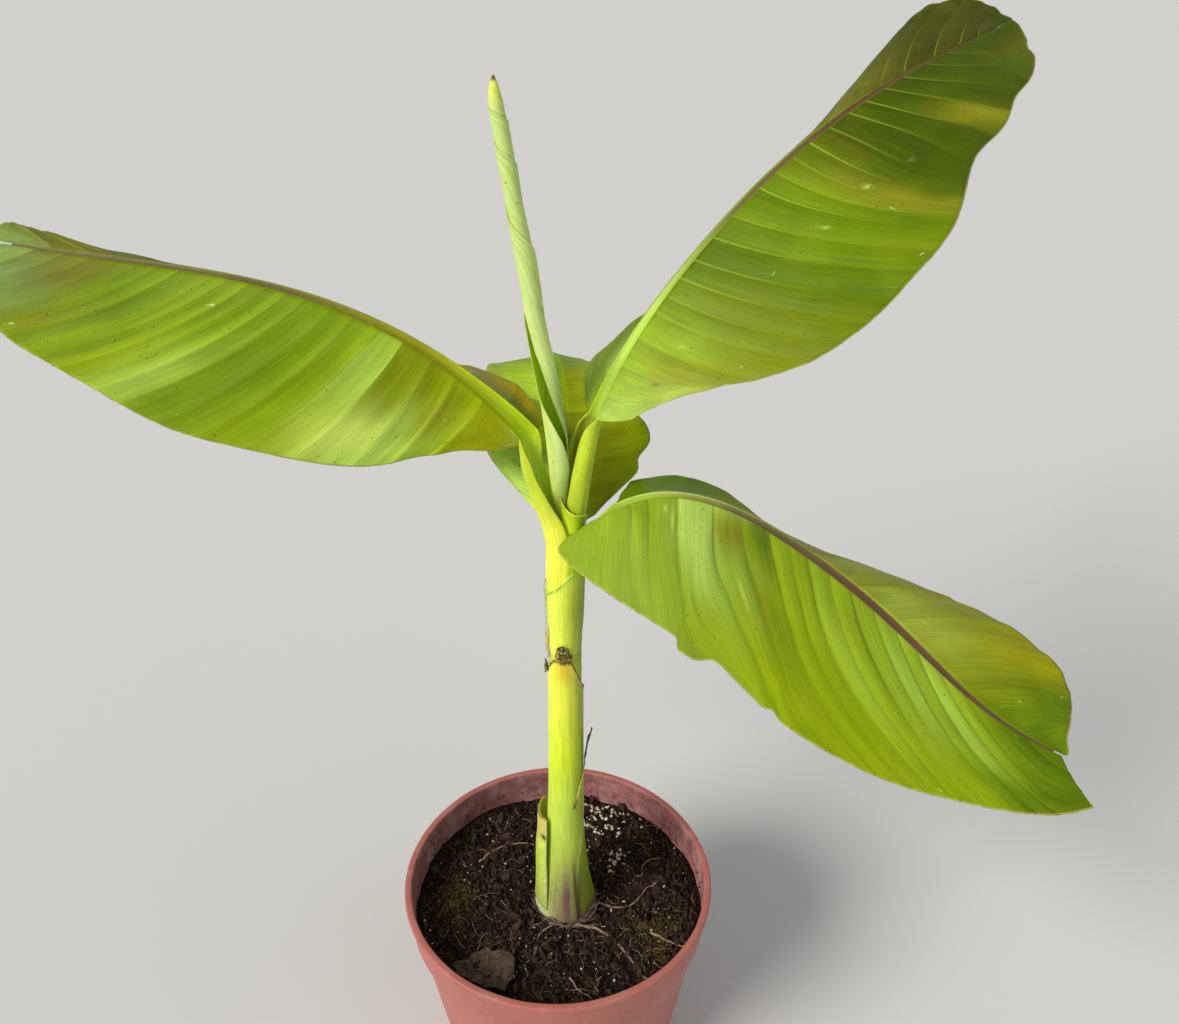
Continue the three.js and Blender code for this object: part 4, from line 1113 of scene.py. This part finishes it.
def furled_sheet():
    """The outer turns of the rolled leaf: a sheet in a spiral, open in a cup on its lower part."""
    rows, columns = 420, 90
    z, x, y, radius = roll_stations(WRAP, rows)
    edge = softened(at_heights(z, FREE_EDGE)[0], 10)
    low = np.minimum(edge - INNER_END, MOST_OPEN_TURN)
    total = low + (ROLLED_TURN - low) * smooth(545, 562, z)
    turn = np.linspace(0, 1, columns)[None, :] * total
    azimuth = edge - turn
    open_part = smooth(545, 535, z)
    r = radius * (1 - SHEET_LOSS * turn / 360 * (1 - open_part))
    r = r + 0.35 * open_part * hill(turn, 0, 25) + 0.06 * noise(turn / 9, z / 30, SEED + 23)
    r = r * (1 - 0.3 * (smooth(500, 512, z) * open_part) * smooth(0.78, 0.95, turn / total))
    rib = hill(azimuth % 360, 212, 26) * smooth(430, 450, z) * smooth(515, 490, z)
    r = r + 0.5 * rib
    gap = np.radians(turn) * radius
    label = stack(gap + z * 0.25, 1 - turn / 600, 0.6 + gap + 9 * (z < 455))
    tone = tint(
        SHADE["spear"],
        (0.5 * smooth(0.2, 0.8, noise(gap / 1.6 + z * 0.04, 0, SEED + 24)), "pale"),
        # Sage towards the foot is painted shade from the collar.
        (0.7 * smooth(462, 440, z), "sage"),
        (0.8 * rib, "cream"),
        # A painted shadow line just inside the free edge.
        (0.35 * hill(gap, 2.2, 0.5) * smooth(545, 600, z), "shade"),
        (0.6 * smooth(636, 646, z), "lemon"),
        (smooth(648.5, 650.5, z), "bark"))
    # The inner face takes a tone far lighter than its own green, as painted light against the shadow in the
    # cup.
    inner = tint(SHADE["lit_hollow"], (0.3 * smooth(0, 0.8, noise(gap, z / 50, SEED + 25)), "olive"))
    grids = [upright(x, y, z, reach, np.radians(azimuth)) for reach in (r, r - SHEET_WALL)]
    faces, kinds = shell_faces(rows, columns)
    make("furled_sheet", grids, faces[:, ::-1], [LEAF_UNDER, LEAF_TOP], "furled_green", ["leaf_furled"],
         roll_fields(label, tone, inner), kinds)


def furled_cone():
    """The inner turns of the rolled leaf, which taper to a point inside the cup."""
    rows, sides = 300, 40
    z, x, y, radius = roll_stations(CONE, rows)
    turn = round_turns(sides)
    step = 0.35 * ((turn / math.tau + z / 70) % 1)
    tone = tint(
        SHADE["spear"],
        # Haze towards the foot, inside the cup, is painted shade, and the sage line at each step of the
        # turns is a painted shadow under its edge.
        (0.75 * smooth(525, 490, z), "haze"),
        (0.35 * hill(step, 0.35, 0.02), "sage"))
    make("furled_cone", [upright(x, y, z, radius * (1 - 0.25 * step), turn)],
         grid_faces(rows, sides, closed=True), [LEAF_UNDER], "furled_green", ["leaf_furled"],
         roll_fields(stack(turn * 5 + 0.1 * z, 0.5, 9), tone), caps=end_caps(0, sides, (rows - 1) * sides))


furled_sheet()
furled_cone()


# The pot

def rounded(profile, radius, steps=4):
    """A profile with each inner corner rounded by a short curve."""
    points = [np.asarray(p, float) for p in profile]
    out = [points[0]]
    for before, corner, after in zip(points, points[1:], points[2:]):
        reach = min(radius, 0.45 * np.linalg.norm(corner - before), 0.45 * np.linalg.norm(after - corner))
        a = corner + unit(before - corner) * reach
        b = corner + unit(after - corner) * reach
        for t in np.linspace(0, 1, steps):
            out.append((1 - t) ** 2 * a + 2 * t * (1 - t) * corner + t * t * b)
    out.append(points[-1])
    return np.array(out)


def pot_profile():
    """Radius and height from the middle of the underside, over the rim, to the middle of the floor."""
    rim_foot = POT_HEIGHT - 4
    outside = [(1, UNDERSIDE), (FOOT_RING - 2, UNDERSIDE), (FOOT_RING, 0), (BASE_RADIUS - 1.5, 0),
               (BASE_RADIUS + 0.2, 2.5), (BODY_TOP_RADIUS - 0.1, COLLAR_FOOT - 1.2),
               (COLLAR_RADIUS, COLLAR_FOOT),
               (98.2, rim_foot - 0.6), (RIM_RADIUS, rim_foot), (RIM_RADIUS, POT_HEIGHT)]
    inside = [(95.4, POT_HEIGHT), (95.2, rim_foot), (94.8, COLLAR_FOOT + 3),
              (BODY_TOP_RADIUS - POT_WALL, COLLAR_FOOT - 1), (BASE_RADIUS - POT_WALL, FLOOR_LEVEL),
              (1, FLOOR_LEVEL)]
    profile = rounded(outside + inside, 1.3)
    runs = []
    for a, b in zip(profile, profile[1:]):
        count = max(1, int(np.linalg.norm(b - a) // 6))
        runs += [a + (b - a) * k / count for k in range(count)]
    return np.array(runs + [profile[-1]])


def pot():
    """The thin pot, whose wall is a little out of round."""
    profile = pot_profile()
    rows, segments = len(profile), 224
    angle = round_turns(segments)
    r, z = profile[:, :1], profile[:, 1:]
    high = smooth(20, 150, z)
    wave = 0.45 * np.cos(2 * angle + 0.7) + 0.2 * np.cos(3 * angle + 2.1)
    r = r + high * (wave + 0.12 * noise(angle * 6, 0, SEED + 30))
    z = z + 0.25 * high * np.cos(2 * angle + 1.9)
    inner = (np.arange(rows)[:, None] > np.argmax(profile[:, 1]) + 2) + 0.0 * angle
    return make("pot_shell", [upright(0, 0, z, r, angle)], grid_faces(rows, segments, closed=True),
                [pot_material()], "pot_plastic", ["pot"], {"inner": [inner]},
                caps=end_caps(0, segments, (rows - 1) * segments))


def drill_holes(shell):
    """Cuts the drain holes through the floor of the pot."""
    cutters = []
    for i in range(DRAIN_HOLES):
        angle = (i + 0.5) * math.tau / DRAIN_HOLES
        reach = DRAIN_CIRCLE / METRE
        bpy.ops.mesh.primitive_cylinder_add(
            vertices=40, radius=DRAIN_RADIUS / METRE, depth=DRILL_DEPTH / METRE,
            location=(reach * math.cos(angle), reach * math.sin(angle), 0))
        cutters.append(bpy.context.object)
    for cutter in cutters:
        cut = shell.modifiers.new("hole", "BOOLEAN")
        cut.object = cutter
        cut.operation = "DIFFERENCE"
    bpy.context.view_layer.objects.active = shell
    for cut in list(shell.modifiers):
        bpy.ops.object.modifier_apply(modifier=cut.name)
    for cutter in cutters:
        bpy.data.objects.remove(cutter)


drill_holes(pot())


# The soil and what lies on it: two colours, roughness, size of the blotches and depth of the relief
GRAINS = {name: grain_material(name, *look) for name, look in dict(
    soil_mix=((0.007, 0.0042, 0.0038), (0.027, 0.014, 0.011), 0.95, 0.35, 0.6),
    dead_leaf=((0.035, 0.022, 0.014), (0.15, 0.10, 0.068), 0.85, 0.3, 0.8),
    foot_root=((0.10, 0.06, 0.055), (0.25, 0.17, 0.14), 0.8, 0.2, 0.2),
    root=((0.21, 0.13, 0.08), (0.36, 0.26, 0.17), 0.8, 0.2, 0.2),
    fibre=((0.05, 0.03, 0.018), (0.15, 0.095, 0.055), 0.85, 0.3, 0.1),
    moss=((0.10, 0.075, 0.012), (0.26, 0.19, 0.04), 0.9, 0.3, 0.2),
    chip=((0.009, 0.0055, 0.0045), (0.095, 0.054, 0.037), 0.9, 0.12, 0.3),
    perlite=((0.55, 0.43, 0.28), (0.80, 0.70, 0.54), 0.9, 0.6, 0.3)).items()}

# The roots on the soil: radius and points of the middle
ROOT_ROUTES = [
    (1.0, [(10, -21), (24, -25), (38, -36), (48, -50), (56, -62), (66, -66)]),
    (0.7, [(-2, -21), (-12, -30), (-14, -42), (-20, -52), (-18, -58)]),
    (0.7, [(26, -4), (40, -8), (52, -2), (60, 8), (66, 10)]),
    (0.8, [(-56, 30), (-44, 42), (-30, 46), (-16, 45)]),
    (0.7, [(8, -62), (14, -70), (22, -76)]),
    (0.7, [(30, -58), (24, -66), (26, -72)]),
    (1.0, [(60, -28), (72, -34), (82, -38)]),
    (0.6, [(44, 24), (56, 20), (58, 30), (70, 36)]),
    (0.8, [(-6, -20.5), (8, -23), (22, -21), (31, -24)]),
]

# The dead leaf on the soil, and the rings of points of a loose grain
DEAD_LEAF_PLACE = (-46, -56)
DEAD_LEAF_SIZE = (23, 19)
DEAD_LEAF_TURN = math.radians(-24)
LUMP_RINGS = 4
LUMP_SIDES = 8
LUMP_POINTS = LUMP_RINGS * LUMP_SIDES


def from_stem(x, y):
    return np.hypot(x - STEM_CENTRE[0], y - STEM_CENTRE[1])


def soil_height(x, y):
    """Height of the soil's surface: lumps and crumbs, level at the stem."""
    away = from_stem(x, y)
    wave = np.sin(x / 11 + 1) * np.cos(y / 13 - 0.6) + 0.6 * np.sin((x - y) / 7.5)
    crumbs = 1.1 * noise(x / 5, y / 5, SEED + 50) + 0.8 * noise(x / 2.2, y / 2.2, SEED + 51)
    crumbs = crumbs + 0.45 * noise(x / 1.05, y / 1.05, SEED + 52)
    edge = 0.4 + 0.6 * smooth(SOIL_RADIUS, SOIL_RADIUS - 5, np.hypot(x, y))
    relief = smooth(22, 44, away) * 1.2 * wave + crumbs * (0.45 + 0.55 * smooth(20, 27, away)) * edge
    return SOIL_LEVEL + relief - 0.4


def on_soil(name, points, faces, material, caps=(), shade_smooth=True):
    make(name, [points], faces, [GRAINS[material]], "potting_soil", ["soil"], caps=caps,
         shade_smooth=shade_smooth)


def soil_bed():
    """The soil as one body, from its rough surface down to the floor of the pot."""
    rings, segments = 134, 460
    share = np.linspace(0, 1, rings)[:, None]
    angle = round_turns(segments)
    r = 0.5 + (SOIL_RADIUS - 0.5) * share
    z = soil_height(r * np.cos(angle), r * np.sin(angle))
    below = np.array([(SOIL_RADIUS, 130.4), (91.1, 127.2), (73.6, SOIL_FOOT), (0.5, SOIL_FOOT)])
    r = np.vstack([r, below[:, :1]])
    z = np.vstack([z, np.repeat(below[:, 1:], segments, 1)])
    faces = grid_faces(rings + 4, segments, closed=True, flip=True)
    caps = [cap[::-1] for cap in end_caps(0, segments, (rings + 3) * segments)]
    on_soil("soil_bed", upright(0, 0, z, r, angle), faces, "soil_mix", caps)


def scattered(draw, count, centres=None, width=0):
    """Random places inside the pot and clear of the stem, all over the soil or round a few centres."""
    outer, inner = (92, 24) if centres is None else (91, 23)
    places = []
    while len(places) < count:
        if centres is None:
            x, y = draw.uniform(-outer, outer, 2)
        else:
            x, y = draw.normal(centres[draw.integers(len(centres))], width)
        if math.hypot(x, y) < outer and from_stem(x, y) > inner:
            places.append((x, y))
    return places


def tubes(name, paths, radii, material, sides=4):
    """Many thin tapering tubes as one piece."""
    points, faces, caps = [], [], []
    turn = round_turns(sides)[..., None]
    start = 0
    for path, radius in zip(paths, radii):
        path = np.asarray(path, float)
        tangent = unit(np.gradient(path, axis=0))
        across = unit(np.cross(tangent, UP + [0.13, 0.07, 0]))[:, None]
        over = np.cross(tangent[:, None], across)
        taper = np.linspace(1, 0.45, len(path))[:, None, None] * radius
        ring = path[:, None] + taper * (np.cos(turn) * across + np.sin(turn) * over)
        points.append(ring.reshape(-1, 3))
        faces.append(grid_faces(len(path), sides, start=start, closed=True))
        caps += end_caps(start, sides, start + (len(path) - 1) * sides)
        start += len(path) * sides
    on_soil(name, np.vstack(points), np.vstack(faces), material, caps)


def fibres(name, count, material, seed, length, radius, near=(), rise=0.9, steps=9):
    """Fine roots and fibres that lie on the soil in loose curves."""
    draw = np.random.default_rng(seed)
    paths, radii = [], []
    for x, y in scattered(draw, count, *near):
        heading = draw.uniform(0, math.tau)
        bend = draw.normal(0, 0.35)
        size = draw.uniform(*length)
        lift = draw.uniform(0.1, rise)
        path = []
        for k in range(steps):
            path.append((x, y, soil_height(x, y) + 0.15 + lift * math.sin(math.pi * k / (steps - 1))))
            x += size / steps * math.cos(heading)
            y += size / steps * math.sin(heading)
            heading += bend + draw.normal(0, 0.3)
        if max(math.hypot(*path[0][:2]), math.hypot(*path[-1][:2])) < SOIL_RADIUS - 1:
            paths.append(path)
            radii.append(draw.uniform(*radius))
    tubes(name, paths, radii, material)


def lump_shapes(draw, count, size, flatness=(0.6, 1.0)):
    """Points of small angular lumps, each of four rings of eight points pushed about."""
    side = np.array([(-1, -1), (0, -1), (1, -1), (1, 0), (1, 1), (0, 1), (-1, 1), (-1, 0)], float)
    side = side / np.maximum(np.linalg.norm(side, axis=1, keepdims=True), 1) ** 0.6
    layers = [(-0.8, 0.55), (-0.35, 1.0), (0.35, 0.95), (0.8, 0.5)]
    base = np.array([(x * w, y * w, z) for z, w in layers for x, y in side])
    shapes = []
    for _ in range(count):
        scale = draw.uniform(*size) / 2
        stretch = np.array([1, draw.uniform(0.55, 1), draw.uniform(*flatness)])
        turn, _ = np.linalg.qr(draw.normal(size=(3, 3)))
        shape = (base * (1 + 0.16 * draw.normal(size=(LUMP_POINTS, 1)))) * stretch * scale
        shapes.append(shape @ turn)
    return shapes


def scatter(name, shapes, places, material):
    """One piece from many small lumps, each moved to its place."""
    starts = LUMP_POINTS * np.arange(len(shapes))
    caps = [cap for start in starts for cap in end_caps(start, LUMP_SIDES, start + LUMP_POINTS - LUMP_SIDES)]
    faces = (grid_faces(LUMP_RINGS, LUMP_SIDES, closed=True)[None] + starts[:, None, None]).reshape(-1, 4)
    on_soil(name, np.array(shapes) + np.array(places)[:, None], faces, material, caps, material == "perlite")


def litter(name, count, material, seed, size, near=(), flatness=(0.6, 1.0), sink=0.25):
    """Loose grains and chips on the soil."""
    draw = np.random.default_rng(seed)
    spots = scattered(draw, count, *near)
    shapes = lump_shapes(draw, count, size, flatness)
    places = [(x, y, soil_height(x, y) - shape[:, 2].min() - sink * np.ptp(shape[:, 2]))
              for (x, y), shape in zip(spots, shapes)]
    scatter(name, shapes, places, material)


def surface_roots():
    """Longer roots on the soil, from the foot of the stem outwards, and a few loose ones."""
    paths = []
    t = np.linspace(0, 1, 26)
    for _, route in ROOT_ROUTES:
        x, y = (blend(values, t) for values in zip(*route))
        paths.append(stack(x, y, soil_height(x, y) + 0.6 + 0.5 * np.sin(t * 9)))
    tubes("soil_roots", paths, [radius for radius, _ in ROOT_ROUTES], "root", sides=7)


def foot_roots():
    """Mauve-brown roots and old fibres that circle the foot of the stem."""
    draw = np.random.default_rng(SEED + 75)
    paths, radii = [], []
    t = np.linspace(0, 1, 14)
    for _ in range(46):
        start = draw.normal(-90, 55)
        angle = np.radians(start + draw.uniform(-70, 70) * t)
        r = draw.uniform(19.5, 22.5) + draw.uniform(-0.5, 5) * t ** 2 + 0.5 * np.sin(t * 7 + start)
        x, y = STEM_CENTRE[0] + r * np.cos(angle), STEM_CENTRE[1] + r * np.sin(angle)
        paths.append(stack(x, y, soil_height(x, y) + draw.uniform(0.2, 3.6) * (1 - t ** 2) + 0.3))
        radii.append(draw.uniform(0.2, 0.75))
    tubes("soil_foot_roots", paths, radii, "foot_root", sides=6)


def dead_leaf():
    """A piece of dead grey-brown leaf that lies at the front left, folded and curled at its rim."""
    rings, sides = 34, 96
    share = np.linspace(0, 1, rings)[:, None]
    angle = round_turns(sides)
    reach = blend([1.0, 0.86, 0.62, 0.58, 0.78, 0.66, 0.74, 1.0], angle / math.tau)
    reach = reach * (1 + 0.10 * noise(angle * 5, 0, SEED + 60)) * share
    x, y = DEAD_LEAF_SIZE[0] * reach * np.cos(angle), DEAD_LEAF_SIZE[1] * reach * np.sin(angle)
    z = 1.5 + 0.32 * abs(0.35 * x + y + 2)
    z = z + 3.2 * smooth(0.55, 1.1, reach) * noise(angle * 1.6, share * 2, SEED + 61)
    z = z + 0.7 * noise(x / 5, y / 5, SEED + 62) + 0.25 * noise((x - 0.5 * y) / 1.2, 0, SEED + 63)
    cosine, sine = math.cos(DEAD_LEAF_TURN), math.sin(DEAD_LEAF_TURN)
    east, north = DEAD_LEAF_PLACE
    front = stack(east + x * cosine - y * sine, north + x * sine + y * cosine, soil_height(east, north) + z)
    upper = grid_faces(rings, sides, closed=True, flip=True)
    lower = grid_faces(rings, sides, start=rings * sides, closed=True)
    edge = (rings - 1) * sides + np.arange(sides)
    after = np.roll(edge, -1)
    rim = stack(edge + rings * sides, after + rings * sides, after, edge)
    on_soil("soil_dead_leaf", [front + UP * 0.35, front - UP * 0.35], np.vstack([upper, lower, rim]),
            "dead_leaf")


def wall_grains():
    """Grains that cling to the inner wall above the soil."""
    draw = np.random.default_rng(SEED + 70)
    count = 180
    shapes = lump_shapes(draw, count, (0.4, 1.4))
    places = []
    for angle in draw.normal(1.0, 1.2, count):
        z = min(SOIL_LEVEL + 1 + abs(draw.normal(0, 5)), POT_HEIGHT - 4)
        r = WALL_INSIDE - 0.2 * draw.random()
        places.append((r * math.cos(angle), r * math.sin(angle), z))
    scatter("wall_grains", shapes, places, "chip")


soil_bed()
litter("soil_crumbs", 3400, "chip", SEED + 80, (0.9, 3.4), flatness=(0.4, 0.9))
litter("soil_bark", 150, "chip", SEED + 81, (3.0, 8.0), flatness=(0.16, 0.35))
litter("soil_perlite", 95, "perlite", SEED + 82, (1.1, 3.5), sink=0.3,
       near=([(24, 80), (32, 78), (20, 70), (36, 66), (28, 60), (40, 74)], 11))
litter("soil_perlite_knot", 16, "perlite", SEED + 87, (1.8, 3.8), sink=0.2, near=([(38, 27), (40, 34)], 3.5))
litter("soil_perlite_loose", 210, "perlite", SEED + 83, (0.5, 1.9), sink=0.3)
fibres("soil_fibres", 900, "fibre", SEED + 84, (4, 16), (0.09, 0.24))
fibres("soil_fine_roots", 170, "root", SEED + 85, (8, 26), (0.14, 0.34), rise=1.6)
fibres("soil_moss", 620, "moss", SEED + 86, (2, 7), (0.10, 0.22), rise=1.4,
       near=([(62, -30), (70, -20), (66, -42), (-72, -8), (-66, 2), (54, -26)], 7))
surface_roots()
foot_roots()
dead_leaf()
wall_grains()


# Floor, lights and camera

def stage_floor():
    mesh = bpy.data.meshes.new("floor")
    corners = [(x * FLOOR_HALF, y * FLOOR_HALF, 0) for x, y in ((-1, -1), (1, -1), (1, 1), (-1, 1))]
    mesh.from_pydata(corners, [], [(0, 1, 2, 3)])
    mesh.materials.append(Finish("floor", roughness=0.9, specular=0.1).done((0.66, 0.65, 0.63)))
    add_object("floor", mesh)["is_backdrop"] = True


def sun(name, towards, strength, softness, colour):
    """Even light that comes from a direction, soft by the angle of its source in degrees."""
    light = bpy.data.lights.new(name, "SUN")
    light.energy = strength
    light.angle = math.radians(softness)
    light.color = colour
    add_object(name, light).rotation_euler = Vector(towards).to_track_quat("Z", "Y").to_euler()


def studio():
    """Soft light from the front left and above, a weak fill from the right, and a pale surround."""
    sun("key", (-0.8, -0.62, 0.72), 3.1, 28, (1.0, 0.975, 0.92))
    sun("fill", (0.8, -0.4, 0.9), 0.45, 60, (0.95, 0.98, 1.0))
    world = bpy.data.worlds.new("studio")
    world.use_nodes = True
    background = world.node_tree.nodes["Background"]
    background.inputs["Color"].default_value = (0.86, 0.90, 0.95, 1)
    background.inputs["Strength"].default_value = 0.36
    bpy.context.scene.world = world
    bpy.context.scene.view_settings.view_transform = "Standard"


def photo_camera():
    camera = bpy.data.cameras.new("camera")
    camera.sensor_width = SENSOR_WIDTH
    camera.lens = SENSOR_WIDTH * FOCAL_PIXELS / PHOTO_WIDTH
    eye = add_object("camera", camera)
    eye.location = EYE
    eye.rotation_euler = (math.radians(EYE_TILT), 0, 0)
    bpy.context.scene.camera = eye


stage_floor()
studio()
photo_camera()

sizes = {"cad": cad_box, "visual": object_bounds()}
{key: [[float(v) for v in corner] for corner in box] for key, box in sizes.items()}
